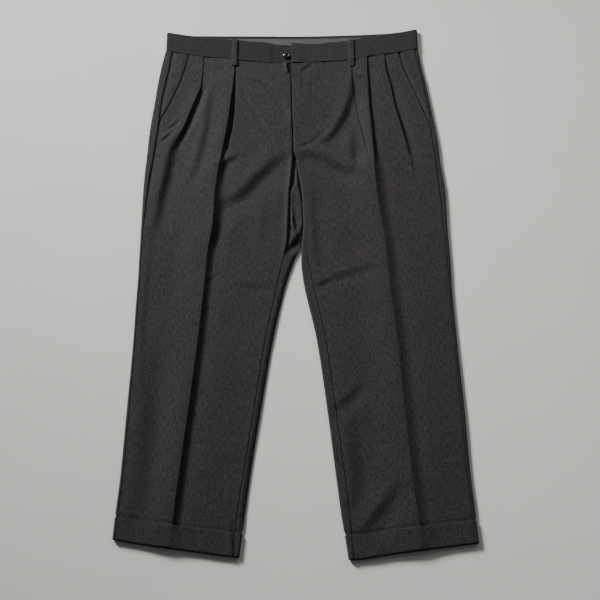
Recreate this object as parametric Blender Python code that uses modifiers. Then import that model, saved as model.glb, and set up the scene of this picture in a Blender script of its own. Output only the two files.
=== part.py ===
"""Pleated dress trousers laid flat on their back, front upwards, with turned-up cuffs.

+X is the wearer's left, +Y runs from the hems to the waist and +Z points up. The origin is the middle of the
underside. Sizes are in millimetres and become metres where the meshes are made. Each half is a flattened tube: a
back panel that rolls over at the side and the inner leg, and a front panel that lies between the two seams.
"""
from collections import namedtuple
from math import cos, pi, sin

import bmesh
import bpy
import numpy as np

MM = 0.001
NAME = "pleated_dress_trousers"

# Cloth walls and the gap that parts neighbouring pieces.
CLOTH = 1.2
BAND = 2.0
LINING = 1.0
CUFF = 1.5
LOOP = 1.6
GAP = 0.4

# Levels along the legs. Rows of a panel bend from a level to the slanted waist seam and hem.
WAIST_LEVEL = 460.0
WAIST_EASE = 300.0
HEM_LEVEL = -510.0
HEM_EASE = -260.0
CUFF_HEIGHT = 39.0
BAND_HEIGHT = 45.0
CROTCH = 237.0
FLY_FOOT = 262.0
POCKET_FOOT = 302.0

# Heights of the lying cloth.
ROLL = 3.0
EDGE_LIFT = 0.5
EDGE_FALL = {"left": (1.0, 14.0), "right": (3.2, 8.5)}
EDGE_WIDTH = 14.0
LOWEST = 2.8
CREST_SHADED = {"left": 20.0, "right": 12.5}
CREST_VALLEY = 40.0
VALLEY_SHARE = 0.4
CREST_LIT = 64.0
LIT_LEAST = 27.0
PLEAT_FOOT = 208.0
RISE_SHARE = 0.42
LIP = 2.4
BROW = 1.2
FLY_LIFT = 1.6
FLY_WIDTH = 50.0
FLY_GROOVE = 4.0
FLY_DROP = 3.2
UNDERLAP = 24.0
WEB_LIFT = 1.8
WEB_ROLL = 2.0
FACING_DEPTH = 15.0
FACING_DROP = 1.8
CUFF_RISE = CUFF + GAP
CUFF_INSET = CUFF + 0.5
CUFF_TIGHTER = 1.3
CUFF_NEAR = -470.0
CUFF_FADE = 35.0

# Waistband ends, belt loops and the button.
BAND_END = -10.0
STEP = -47.0
TAB_END = 14.0
BAND_TOP = 7.6
TAB_TOP = 7.0
LAP_TOP = 9.4
LAP_WIDTH = 110.0
LINING_DOWN = 7.3
LINING_FOOT = 35.0
LINING_ENDS = (-195.0, 168.0)
LOOP_AT = {"left": 108.0, "right": -121.0}
LOOP_WIDTH = 10.0
LOOP_BELOW = 16.0
BUTTON_RADIUS = 7.5
BUTTON_THICKNESS = 3.4
BUTTON_AT = (-19.5, 463.0)
HOLE_RADIUS = 0.85
HOLE_PITCH = 2.8

# One row for each section of a half, from the waist down. outer: side fold; side: side seam; edge: outer edge of
# the front panel, which is the pocket mouth above the side seam; pleat, crease: edges of the two pleats, the crease
# running on to the hem; gape2, gape1: how far the cloth drops behind them; mouth: the other edge of the right
# pleat's opening, or the line where the left pleat starts, with nick as its drop; inseam: inner edge of the front
# panel; inner: inner fold; flat: height of the cloth; crest: height of the crease above it.
Station = namedtuple("Station",
                     "y outer side edge pleat gape2 mouth nick crease gape1 inseam inner flat crest")
RIGHT = [
    Station(480, -256, -243, -207, -182, 0.5, -119, 0, -122, 0.8, -9, -9, 6.7, 0.4),
    Station(435, -264, -248, -216, -182.5, 0.8, -118, 0, -121, 2.0, -9, -9, 6.7, 1.2),
    Station(400, -268.5, -253, -225, -184.5, 1.3, -118, 0, -122.5, 3.2, -8, -8, 6.7, 2.4),
    Station(375, -271, -257, -234, -190.5, 3.4, -118, 0, -125, 3.8, -8, -8, 6.7, 3.0),
    Station(350, -273.5, -260, -243, -199, 4.2, -118, 0, -127.5, 4.0, -7, -7, 6.7, 3.4),
    Station(300, -278.5, -263, -263, -215, 4.2, -121, 0, -132.5, 4.0, -6, -6, 6.7, 4.0),
    Station(270, -280.5, -265.5, -265.5, -228.5, 2.6, -126.5, 0, -137, 3.8, -5, -5, 6.7, 4.2),
    Station(255, -281, -267, -267, -234, 0.9, -128.5, 0, -139, 3.2, -5, -5, 6.7, 4.2),
    Station(245, -281.5, -268, -268, -237, 0.2, -130, 0, -140.5, 0.8, -5, -5, 6.7, 4.4),
    Station(225, -282.5, -270, -270, -241, 0, -136, 0, -143.5, 0, -7, 0, 6.7, 5.0),
    Station(200, -284, -273, -273, -243, 0, -139, 0, -147, 0, -9, 4, 6.6, 5.4),
    Station(150, -285, -277, -277, -250, 0, -145, 0, -152, 0, -13, 11, 6.5, 5.4),
    Station(90, -285, -280, -280, -254, 0, -147, 0, -153.5, 0, -15, 12, 6.4, 5.6),
    Station(60, -285, -281, -281, -251, 0, -151, 0, -157.5, 0, -18, 11, 6.3, 5.4),
    Station(40, -285, -281, -281, -249, 0, -154, 0, -160.5, 0, -22, 6, 6.3, 5.2),
    Station(20, -285, -281, -281, -247, 0, -156, 0, -162, 0, -25, -2.5, 6.3, 5.1),
    Station(0, -285, -281, -281, -245, 0, -157, 0, -163, 0, -28, -9, 6.2, 5.0),
    Station(-15, -285, -281, -281, -243, 0, -158, 0, -164, 0, -31, -14, 6.2, 5.0),
    Station(-60, -286, -282, -282, -242, 0, -161, 0, -167, 0, -40, -25, 6.1, 5.0),
    Station(-140, -287, -283, -283, -240, 0, -167, 0, -173, 0, -55, -41, 6.1, 5.1),
    Station(-260, -291, -286, -286, -242, 0, -178, 0, -184, 0, -71, -59, 6.1, 5.2),
    Station(-380, -295, -290, -290, -246, 0, -190, 0, -196, 0, -88, -76, 6.0, 5.2),
    Station(-455, -300, -295, -295, -250, 0, -197, 0, -203, 0, -98, -85, 6.0, 5.2),
    Station(-473, -301, -296, -296, -250.5, 0, -198.5, 0, -204.5, 0, -99.5, -87, 6.0, 5.0),
    Station(-486, -301.6, -296.6, -296.6, -251, 0, -199.5, 0, -205.5, 0, -100.5, -88.3, 6.0, 1.8),
    Station(-530, -304, -299, -299, -253, 0, -203, 0, -209, 0, -104, -93, 6.0, 1.5),
]
LEFT = [
    Station(480, 239, 231, 198, 171, 0.6, 107, 0.8, 138, 0.5, -9, -9, 6.7, 0.8),
    Station(435, 245, 240, 209, 173.5, 1.8, 107, 1.3, 137.5, 1.2, -10, -9, 6.7, 1.6),
    Station(400, 251, 246, 221, 180.5, 2.4, 107.5, 1.6, 138.5, 1.6, -9, -8, 6.7, 2.2),
    Station(350, 258, 252, 239, 188.5, 2.6, 114, 0.6, 139.5, 1.8, -8, -7, 6.7, 3.0),
    Station(320, 262, 255, 249, 195, 2.5, 118, 1.0, 141.5, 1.8, -7, -7, 6.7, 3.3),
    Station(300, 265, 256, 256, 200, 2.4, 122, 1.2, 142.5, 1.8, -6, -6, 6.7, 3.5),
    Station(250, 270, 261, 261, 210.5, 1.4, 131, 1.0, 145.5, 1.4, -5, -5, 6.7, 4.6),
    Station(225, 271, 263, 263, 216, 0.6, 135, 0.6, 146.5, 0.9, 2, 0, 6.7, 5.6),
    Station(200, 274, 264, 264, 220, 0.2, 138, 0.3, 147.5, 0.4, 8, 4, 6.6, 6.2),
    Station(150, 278, 268, 268, 224, 0, 142, 0, 150.5, 0, 15, 11, 6.5, 6.0),
    Station(90, 278, 271, 271, 228, 0, 149, 0, 158, 0, 17, 13, 6.4, 5.2),
    Station(48, 279, 274, 274, 229, 0, 154, 0, 163, 0, 17, 10, 6.3, 4.8),
    Station(20, 280, 275, 275, 230, 0, 156, 0, 165, 0, 21, 9, 6.3, 4.6),
    Station(-15, 280, 276, 276, 231, 0, 158, 0, 167, 0, 28, 12, 6.2, 4.5),
    Station(-140, 284, 280, 280, 236, 0, 169, 0, 178, 0, 53, 37, 6.1, 4.5),
    Station(-260, 290, 285, 285, 242, 0, 177, 0, 186, 0, 68, 53, 6.1, 4.6),
    Station(-380, 294, 289, 289, 247, 0, 186, 0, 195, 0, 82, 67, 6.0, 4.8),
    Station(-455, 299, 294, 294, 250, 0, 193, 0, 202, 0, 90, 76, 6.0, 5.0),
    Station(-475, 300, 295, 295, 251, 0, 195, 0, 204, 0, 91.5, 79, 6.0, 4.8),
    Station(-488, 301, 296, 296, 251.7, 0, 196.4, 0, 205.4, 0, 92.6, 81, 6.0, 1.8),
    Station(-530, 304, 299, 299, 254, 0, 201, 0, 210, 0, 96, 87, 6.0, 1.5),
]

# Outlines across the garment, as (x, y): waist seam and top edge of the front, top edge of the back, and hems.
FRONT_SEAM = [(-256, 475), (-223, 468), (-172, 460), (-127, 456), (-92, 451), (-22, 446), (2, 447), (56, 450),
              (101, 454), (152, 465), (195, 471), (239, 481)]
FRONT_TOP_RIGHT = [(-256, 519), (-204, 510), (-148, 504), (-93, 498), (-50, 493.5), (-47, 491.5), (-20, 489), (14, 488)]
FRONT_TOP_LEFT = [(-10, 493), (29, 491.5), (59, 494), (100, 499), (127, 505), (170, 514), (209, 520), (240, 527)]
BACK_TOP = [(-256, 519), (-204, 514), (-93, 513.5), (-2, 513), (86, 515), (170, 519), (209, 522.5), (240, 527)]
HEM = [(-304, -493), (-252, -502), (-172, -513), (-92, -523), (0, -527), (87, -527), (164, -517), (217, -510),
       (304, -499)]

# The largest soft folds. Each is a step down of drop towards its east side, within the width steep, between cloth
# that rises over the distance west before it and recovers over the distance east behind it. East is to the left of a
# route as it is walked, so that routes run from the waist to the hem or towards the wearer's right.
Fold = namedtuple("Fold", "name drop steep west east route")
FOLDS_RIGHT = [
    Fold("drag across the crotch", 8.0, 28, 34, 44, [(-16, 242), (-40, 224), (-56, 206), (-72, 190), (-90, 166),
                                                     (-108, 150), (-128, 140), (-148, 132)]),
    Fold("hollow beside the crease", 3.0, 16, 20, 26, [(-134, 180), (-137, 150), (-140, 125), (-142, 100), (-148, 70),
                                                       (-155, 40)]),
    Fold("trough between the pleats", 4.4, 14, 14, 26, [(-165, 396), (-167, 350), (-171, 300), (-178, 260),
                                                        (-184, 230), (-191, 205), (-202, 180), (-216, 164)]),
    Fold("valley below the pleat", 8.0, 22, 22, 40, [(-216, 292), (-229, 264), (-235, 240), (-239, 215), (-241, 195),
                                                     (-245, 175), (-249, 150), (-252, 120), (-255, 80)]),
    Fold("soft line down the thigh", 1.1, 14, 18, 22, [(-57, 160), (-59, 100), (-62, 40)]),
    Fold("line along the side", 1.4, 13, 12, 30, [(-262, 110), (-267, 0), (-270, -100), (-267, -230)]),
    Fold("hollow along the shin", 5.2, 44, 14, 44, [(-253, -150), (-255, -280), (-257, -360), (-264, -470)]),
    Fold("soft band at the thigh", 1.7, 15, 16, 20, [(-40, -36), (-75, -33), (-114, -26)]),
]
FOLDS_LEFT = [
    Fold("drag from pleat to crotch", 6.0, 17, 26, 40, [(110, 420), (108, 384), (102, 356), (96, 336), (88, 316),
                                                        (78, 298), (69, 284), (58, 272), (44, 261)]),
    Fold("drag across the crotch", 7.0, 22, 26, 36, [(116, 195), (100, 202), (84, 210), (68, 220), (52, 231),
                                                     (36, 239), (12, 246)]),
    Fold("hollow beside the strip", 3.6, 18, 20, 26, [(107, 300), (106, 262), (108, 230), (103, 200)]),
    Fold("trough along the inner leg", 2.4, 18, 12, 32, [(27, 205), (30, 150), (32, 100), (36, 50), (41, 0),
                                                         (46, -30)]),
    Fold("drag across the thigh", 2.6, 18, 34, 20, [(152, 10), (120, 0), (95, -8), (70, -16), (50, -26), (34, -37)]),
    Fold("drag at the knee", 4.0, 16, 20, 22, [(114, -218), (101, -237), (88, -249), (74, -259), (62, -268)]),
    Fold("hollow along the shin", 4.8, 34, 18, 34, [(93, -285), (97, -335), (102, -380), (100, -415), (88, -450)]),
    Fold("drag at the cuff", 5.6, 23, 26, 38, [(174, -394), (163, -414), (152, -430), (140, -446), (129, -460),
                                               (118, -474), (108, -489)]),
]
# Height of the low cloth between the legs, along its middle.
WEB_RISE = [(20, 1.8), (35, 1.8), (50, 4.6), (72, 5.4), (95, 5.6), (115, 5.6), (135, 5.2), (152, 5.4), (168, 4.8),
            (190, 4.4), (215, 3.4), (240, 3.0)]

# Levels of the panels' rows: close together at the pleats, wider apart down the legs.
HIP_LEVEL = 150.0
FRONT_ROWS = (20, 20)
BACK_ROWS = (14, 11)
CUFF_ROWS = (1.5, 12.0)
FORK = CROTCH - 8.0


def smooth(t):
    """Ease from 0 to 1."""
    t = np.clip(t, 0.0, 1.0)
    return t * t * (3.0 - 2.0 * t)


def soft(t):
    """A rounded bump of height 1 at 0 that ends at 1."""
    return (1.0 - np.clip(np.abs(t), 0.0, 1.0) ** 2) ** 2


def cusp(t):
    """A peaked ridge of height 1 at 0 that ends at 1."""
    return (1.0 - np.clip(np.abs(t), 0.0, 1.0)) ** 1.5


def curve(points):
    """A smooth function through (place, value) points that never overshoots them."""
    points = sorted(points)
    p = np.array([q[0] for q in points], float)
    v = np.array([q[1] for q in points], float)
    step = np.diff(v) / np.diff(p)
    slope = np.zeros(len(p))
    slope[0], slope[-1] = step[0], step[-1]
    for i in range(1, len(p) - 1):
        if step[i - 1] * step[i] > 0:
            slope[i] = 2.0 * step[i - 1] * step[i] / (step[i - 1] + step[i])

    def value(at):
        at = np.clip(np.asarray(at, float), p[0], p[-1])
        i = np.clip(np.searchsorted(p, at) - 1, 0, len(p) - 2)
        h = p[i + 1] - p[i]
        t = (at - p[i]) / h
        rise = t * t * (3.0 - 2.0 * t)
        return (v[i] + (v[i + 1] - v[i]) * rise + h * slope[i] * t * (1.0 - t) ** 2
                + h * slope[i + 1] * t * t * (t - 1.0))

    return value


front_seam = curve(FRONT_SEAM)
front_top_right = curve(FRONT_TOP_RIGHT)
front_top_left = curve(FRONT_TOP_LEFT)
back_top = curve(BACK_TOP)
web_rise = curve(WEB_RISE)
hem = curve(HEM)


def back_seam(x):
    return back_top(x) - BAND_HEIGHT


def fold_height(fold, x, y):
    """Height that a soft fold adds at (x, y), faded out at both ends of its route."""
    route = np.array(fold.route, float)
    leg = np.hypot(*np.diff(route, axis=0).T)
    start = np.concatenate([[0.0], np.cumsum(leg)])
    best = np.full(np.shape(x), 1e9)
    along = np.zeros(np.shape(x))
    side = np.zeros(np.shape(x))
    for i, (a, b) in enumerate(zip(route, route[1:])):
        d = b - a
        t = np.clip(((x - a[0]) * d[0] + (y - a[1]) * d[1]) / (d @ d), 0.0, 1.0)
        dx = x - a[0] - t * d[0]
        dy = y - a[1] - t * d[1]
        far = np.hypot(dx, dy)
        near = far < best
        best = np.where(near, far, best)
        along = np.where(near, (start[i] + t * leg[i]) / start[-1], along)
        side = np.where(near, d[0] * dy - d[1] * dx, side)
    far = np.where(side > 0, best, -best)
    reach = np.where(side > 0, fold.east, fold.west) + fold.steep / 2
    step = RISE_SHARE - smooth(far / fold.steep + 0.5)
    return fold.drop * step * (1.0 - smooth(best / reach)) * np.sin(pi * along) ** 0.6


def ridge(distance, height, lit, shaded):
    """An edge that rises gently from the west over lit and drops to the east within shaded."""
    return height * np.where(distance < 0, 1.0 - smooth(-distance / lit), np.clip(1.0 - distance / shaded, 0, 1) ** 1.6)


def hollow(distance, floor, recover):
    """A hollow of depth 1 to the east of an edge, level over floor and filled again over recover."""
    return smooth(distance / LIP) * (1.0 - smooth((distance - floor) / recover))


class Half:
    """One half of the trousers: its seam lines and the height of its upper cloth."""

    def __init__(self, name, sign, rows, folds):
        self.name = name
        self.sign = sign
        self.folds = folds
        for column in Station._fields[1:]:
            setattr(self, column, curve([(row.y, getattr(row, column)) for row in rows]))

    def web(self, y):
        """1 where the right inner thigh lies low and runs across to the left leg, 0 elsewhere."""
        if self.sign > 0:
            return np.zeros(np.shape(y))
        return smooth((y - 22.0) / 30.0) * smooth((CROTCH - y) / 6.0)

    def seam_in(self, y):
        """Inner edge of the front panel: the fly above the crotch, and clear of the inner fold below it."""
        seam = self.inseam(y)
        if self.sign > 0:
            return np.where(y < CROTCH, np.maximum(seam, self.inner(y) + ROLL + 1.2), seam)
        return seam

    def front_edge(self, y):
        """Outer edge of the front panel: the pocket mouth, and the side seam below it."""
        if self.sign > 0:
            return np.minimum(self.edge(y), self.side(y))
        return np.maximum(self.edge(y), self.side(y))

    def fold_in(self, y):
        """The inner fold, which on the right keeps clear of the left leg and above the crotch is the same line."""
        inner = self.inner(y)
        if self.sign < 0:
            inner = np.where(y < CROTCH, np.minimum(inner, left.inner(y) - 0.6), left.inner(y))
        return inner

    def place(self, line, level, under=0.0):
        """Where a line crosses a level, once the level has bent to the waist seam or the hem."""
        y = level
        for _ in range(4):
            x = float(line(y))
            y = float(self.bend(x, level, under))
        return x, y

    def bend(self, x, level, under=0.0):
        """The y of a level at x; under is 0 on the upper cloth and 1 on the floor."""
        waist = (1.0 - under) * front_seam(x) + under * back_seam(x) - GAP * (1.0 + under)
        up = smooth((level - WAIST_EASE) / (WAIST_LEVEL - WAIST_EASE))
        down = smooth((HEM_EASE - level) / (HEM_EASE - HEM_LEVEL))
        return level + up * (waist - WAIST_LEVEL) + down * (hem(x) - HEM_LEVEL)

    def top(self, x, y):
        """Height of the upper cloth at (x, y)."""
        s = self.sign
        x = np.asarray(x, float)
        y = np.asarray(y, float)
        leg = smooth((CROTCH - y) / 9.0)
        web = self.web(y)
        above_cuff = smooth((y - CUFF_NEAR) / CUFF_FADE)
        outer, inner = x - self.outer(y), x - self.fold_in(y)
        fall, width = EDGE_FALL[self.name]
        if s < 0:
            edges = EDGE_LIFT * soft(outer / EDGE_WIDTH) - fall * cusp(inner / width) * leg * (1.0 - web) * above_cuff
        else:
            edges = EDGE_LIFT * soft(inner / EDGE_WIDTH) * leg - fall * cusp(outer / width) * above_cuff
        z = self.flat(y) + edges + self.pleats(x, y)
        for fold in self.folds:
            z = z + fold_height(fold, x, y)
        from_fly = x - self.seam_in(y)
        if s > 0:
            z = z + FLY_LIFT * (1.0 - smooth(from_fly / FLY_WIDTH)) * smooth((y - CROTCH + 12.0) / 24.0)
        else:
            z = z + 0.7 * (1.0 - smooth(-from_fly / 30.0)) * (1.0 - leg)
            z = z - FLY_DROP * smooth((from_fly + FLY_GROOVE) / (FLY_GROOVE + 0.4)) * (1.0 - leg)
            z = z - 0.6 * np.clip(from_fly / UNDERLAP, 0.0, 1.2)
            z = z + WEB_LIFT * web * soft(from_fly / 10.0)
        return np.maximum(z, LOWEST + CUFF_RISE * (1.0 - above_cuff))

    def pleats(self, x, y):
        """The pressed crease and the pleats. Their edges rise gently from the west and drop steeply to the east."""
        pleated = smooth((y - PLEAT_FOOT) / 40.0)
        from_crease, from_mouth, from_pleat = x - self.crease(y), x - self.mouth(y), x - self.pleat(y)
        strip = np.maximum(self.crease(y) - self.mouth(y), LIT_LEAST) if self.sign > 0 else CREST_LIT
        lit = CREST_LIT + (strip - CREST_LIT) * pleated
        shaded = CREST_SHADED[self.name]
        z = ridge(from_crease, self.crest(y), lit, shaded + (LIP - shaded) * pleated)
        valley = smooth(from_crease / shaded) * (1.0 - smooth(from_crease / CREST_VALLEY))
        z = z - VALLEY_SHARE * self.crest(y) * valley * (1.0 - pleated)
        if self.sign < 0:
            opening = self.mouth(y) - self.crease(y)
            z = z - self.gape1(y) * hollow(from_crease, opening - BROW, BROW)
            return z + ridge(from_pleat, 0.4 * self.gape2(y), 26.0, LIP) - self.gape2(y) * hollow(from_pleat, 6.0, 17.0)
        z = z - self.gape1(y) * hollow(from_crease, LIP, 26.0)
        z = z + ridge(from_pleat, 0.5 * self.gape2(y), 30.0, LIP) - self.gape2(y) * hollow(from_pleat, LIP, 22.0)
        return z + self.nick(y) * (ridge(from_mouth, 0.5, 16.0, LIP) - 0.5 * hollow(from_mouth, LIP, 9.0))


left = Half("left", 1, LEFT, FOLDS_LEFT)
right = Half("right", -1, RIGHT, FOLDS_RIGHT)


def levels(leg_rows, hip_rows, near):
    """Levels of a panel's rows from the hem up, with rows of their own at the cuff and at the levels near."""
    cuff_top = HEM_LEVEL + CUFF_HEIGHT
    leg = np.linspace(cuff_top + CUFF_ROWS[1], HIP_LEVEL, leg_rows)
    hip = np.linspace(HIP_LEVEL, WAIST_LEVEL, hip_rows + 1)[1:]
    rows = [HEM_LEVEL, HEM_LEVEL + CUFF_HEIGHT / 2, cuff_top + CUFF_ROWS[0], *leg, *hip]
    rows = [r for r in rows if all(abs(r - n) > 6.0 for n in near)]
    return sorted([*rows, *near])


def in_cuff(level):
    """1 inside the turned-up cuff, 0 above it."""
    top = HEM_LEVEL + CUFF_HEIGHT
    return float(1.0 - smooth((level - top - CUFF_ROWS[0]) / (CUFF_ROWS[1] - CUFF_ROWS[0])))


def spread(stops, counts):
    """Values from stop to stop, each stretch in equal steps."""
    values = [stops[0]]
    for a, b, n in zip(stops, stops[1:], counts):
        values += [a + (b - a) * k / n for k in range(1, n + 1)]
    return values


def floor_columns(start, end):
    """Columns across the floor from the side fold inwards, the same on the back panel and the waistband."""
    return [start + (end - start) * share for share in (0.1, 0.25, 0.6, 1.0)]


def front_columns(half, level):
    """The x of a front panel's columns at a level, from its outer edge to the fly or the inseam."""
    s = half.sign
    pleat, mouth, crease = (half.place(getattr(half, name), level)[0] for name in ("pleat", "mouth", "crease"))
    x_in, y_in = half.place(half.seam_in, level)
    edge = half.place(half.front_edge, level)[0] - s * GAP
    if s > 0:
        end = x_in + GAP if y_in < CROTCH else x_in
        return spread([edge, pleat + LIP, pleat, crease + LIP, crease, mouth + LIP, mouth, end], (4, 1, 4, 1, 3, 1, 8))
    over = y_in > FLY_FOOT + 4.0
    end = x_in + UNDERLAP if over else x_in - GAP
    near = x_in - FLY_GROOVE
    foot = near + (end - near) * (0.16 if over else 0.9)
    lip = crease + min(LIP, 0.4 * (mouth - crease))
    return spread([edge, pleat, pleat + LIP, crease, lip, mouth - BROW, mouth, near, foot, end],
                  (4, 1, 5, 1, 1, 1, 8, 1, 1))


def roll_points(x_edge, side, z_low, z_high, radius, steps=4):
    """Points over a fold from its top to its bottom; side points out of the cloth."""
    points = []
    for k in range(steps + 1):
        a = pi / 2 - pi * k / steps
        x = x_edge - side * radius * (1.0 - cos(a))
        points.append((x, (z_low + z_high) / 2 + (z_high - z_low) / 2 * sin(a), 0.5 - 0.5 * sin(a)))
    return points


def back_section(half, level):
    """A back panel's section: side seam, outer fold, floor, inner fold and inseam."""
    s = half.sign
    cuffed = in_cuff(level)
    inset = cuffed * CUFF_INSET
    floor = cuffed * CUFF_RISE
    radius = ROLL - cuffed * CUFF_TIGHTER
    x_side, y_side = half.place(half.side, level)
    x_out = half.place(half.outer, level)[0] - s * inset
    start = x_out - s * radius
    section = [(x_side, float(half.top(x_side, y_side)), 0.0)]
    section += roll_points(x_out, s, floor, float(half.top(start, y_side)), radius)
    x_in, y_in = half.place(half.fold_in, level)
    if level > FORK + 1.0:
        return section + [(x, floor, 1.0) for x in floor_columns(start, x_in + s * GAP / 2)]
    x_in += s * inset
    web = float(half.web(y_in))
    x_seam = half.place(half.seam_in, level)[0]
    radius_in = radius + web * (WEB_ROLL - radius)
    turn = x_in + s * radius_in

    def upper(x):
        return float(half.top(x, y_in)) * (1.0 - web) + float(web_rise(y_in)) * web

    mid = [(x, floor, 1.0) for x in floor_columns(start, turn + s * 0.5)]
    fold = [(x, z, u) for x, z, u in reversed(roll_points(x_in, -s, floor, upper(turn), radius_in))]
    x_mid = (turn + x_seam) / 2
    return section + mid + fold + [(x_mid, upper(x_mid), 0.0), (x_seam, upper(x_seam), 0.0)]


def new_object(name, mesh, collection, material):
    item = bpy.data.objects.new(name, mesh)
    collection.objects.link(item)
    mesh.materials.append(material)
    mesh.shade_smooth()
    mesh.set_sharp_from_angle(angle=0.6)
    return item


def wall(name, rows, thickness, collection, material, up=True, closed=False):
    """A cloth wall: an open surface through rows of points, thickened inwards by Solidify.

    A row may stop short of the one before it, where the cloth is slit.
    """
    vertices = [tuple(c * MM for c in point) for row in rows for point in row]
    faces = []
    first = 0
    for row, above in zip(rows, rows[1:]):
        count = min(len(row), len(above))
        start = first + len(row)
        for c in range(count if closed else count - 1):
            d = (c + 1) % count
            quad = (first + c, first + d, start + d, start + c)
            faces.append(quad if up else quad[::-1])
        first = start
    mesh = bpy.data.meshes.new(name)
    mesh.from_pydata(vertices, [], faces)
    mesh.update()
    item = new_object(name, mesh, collection, material)
    solid = item.modifiers.new("wall", "SOLIDIFY")
    solid.thickness = thickness * MM
    solid.offset = -1.0
    solid.use_rim = True
    return item


def front_panel(half, collection, material):
    rows = []
    for level in levels(*FRONT_ROWS, (FORK, CROTCH + 6.0, FLY_FOOT, FLY_FOOT + 8.0)):
        columns = front_columns(half, level)
        row = []
        for x in columns:
            y = float(half.bend(x, level))
            row.append((x, y, float(half.top(x, y))))
        rows.append(row)
    wall("front_" + half.name, rows, CLOTH, collection, material, up=half.sign < 0)


def back_panel(half, collection, material):
    rows = []
    for level in levels(*BACK_ROWS, (22.0, 52.0, FORK, CROTCH + 6.0)):
        rows.append([(x, float(half.bend(x, level, u)), z) for x, z, u in back_section(half, level)])
    wall("back_" + half.name, rows, CLOTH, collection, material, up=half.sign > 0)


def pocket_facing(half, collection, material):
    """The cloth seen in the slanted pocket mouth, from the side seam to just under the front panel."""
    s = half.sign
    rows = []
    for level in np.linspace(POCKET_FOOT, WAIST_LEVEL, 9):
        x_side = half.place(half.side, level)[0]
        x_edge = half.place(half.front_edge, level)[0]
        row = []
        for x in spread([x_side - s * GAP, x_edge - s * FACING_DEPTH], (6,)):
            y = float(half.bend(x, level))
            shown = float(smooth(s * (x - x_edge) / 14.0))
            row.append((x, y, max(float(half.top(x, y)) - FACING_DROP * (1.0 - shown), 2.9)))
        rows.append(row)
    wall("pocket_facing_" + half.name, rows, CLOTH, collection, material, up=s < 0)


def band_height(half, x):
    """Height of the front waistband: the left end laps over the tab of the right one."""
    if half.sign > 0:
        return BAND_TOP + (LAP_TOP - BAND_TOP) * (1.0 - float(smooth((x - BAND_END) / LAP_WIDTH)))
    if x < STEP - 3.0:
        return BAND_TOP
    if x < STEP:
        return BAND_TOP + (TAB_TOP - BAND_TOP) * (x - STEP + 3.0) / 3.0
    return TAB_TOP - 0.1 * (x - STEP) / (TAB_END - STEP)


def waistband(half, collection, material):
    """Half of the waistband, from its front end round the side fold to the centre back seam on the floor."""
    s = half.sign
    top_edge = front_top_left if s > 0 else front_top_right
    end = BAND_END if s > 0 else TAB_END
    x_out = float(half.outer(500.0))
    turn = x_out - s * (BAND_TOP + 0.4) / 2
    path = []
    stops = [end, 60.0, turn] if s > 0 else [end, BAND_END, STEP, STEP - 3.0, turn]
    counts = (4, 8) if s > 0 else (2, 2, 1, 10)
    for x in spread(stops, counts)[:-1]:
        path.append((x, band_height(half, x), 0.0))
    path += roll_points(x_out, s, 0.0, BAND_TOP, BAND_TOP / 2)
    path += [(x, 0.0, 1.0) for x in floor_columns(turn, float(half.inner(470.0)) + s * GAP / 2)]
    rows = []
    for t in (0.0, 0.5, 1.0):
        row = []
        for x, z, u in path:
            low = (1.0 - u) * float(front_seam(x)) + u * float(back_seam(x))
            high = (1.0 - u) * float(top_edge(x)) + u * float(back_top(x))
            row.append((x, low + (high - low) * t, z))
        rows.append(row)
    wall("waistband_" + half.name, rows, BAND, collection, material, up=s > 0)


def waistband_lining(collection, material):
    """The lining inside the back waistband, which shows above the front."""
    rows = []
    for down in (LINING_FOOT, LINING_DOWN):
        row = [(x, float(back_top(x)) - down, BAND + GAP + LINING) for x in spread(LINING_ENDS, (16,))]
        rows.append(row)
    wall("waistband_lining", rows, LINING, collection, material)


def belt_loop(half, collection, material):
    """A flat loop sewn down over the waistband, its foot just below the waist seam."""
    top_edge = front_top_left if half.sign > 0 else front_top_right
    middle = LOOP_AT[half.name]
    xs = [middle - LOOP_WIDTH / 2, middle, middle + LOOP_WIDTH / 2]
    seam = float(front_seam(middle))
    high = float(top_edge(middle)) - 0.5
    rows = []
    for y in spread([seam - LOOP_BELOW, seam - 1.5, seam + 1.5, high], (3, 1, 5)):
        under = [float(half.top(x, y)) if y < seam else band_height(half, x) for x in xs]
        if abs(y - seam) < 2.0:
            under.append(band_height(half, middle))
        rows.append([(x, y, max(under) + 0.3 + LOOP) for x in xs])
    wall("belt_loop_" + half.name, rows, LOOP, collection, material)


def cuff(half, collection, material):
    """The turn-up: a flat ring round the end of the leg."""
    s = half.sign
    rows = []
    for level in (HEM_LEVEL, HEM_LEVEL + CUFF_HEIGHT / 2, HEM_LEVEL + CUFF_HEIGHT):
        x_out, y_out = half.place(half.outer, level)
        x_in, y_in = half.place(half.inner, level)
        radius = ROLL + 0.4
        out_turn = x_out - s * radius
        in_turn = x_in + s * radius
        top_out = float(half.top(out_turn, y_out)) + CUFF_RISE
        top_in = float(half.top(in_turn, y_in)) + CUFF_RISE
        ring = []
        for x in front_columns(half, level):
            y = float(half.bend(x, level))
            ring.append((x, float(half.top(x, y)) + CUFF_RISE))
        ring += [(x, z) for x, z, _ in roll_points(x_in, -s, 0.0, top_in, radius)]
        ring += [(x, 0.0) for x in spread([in_turn, out_turn], (4,))[1:-1]]
        ring += [(x, z) for x, z, _ in reversed(roll_points(x_out, s, 0.0, top_out, radius))]
        rows.append([(x, float(half.bend(x, level)), z) for x, z in ring])
    wall("cuff_" + half.name, rows, CUFF, collection, material, up=s < 0, closed=True)


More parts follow.
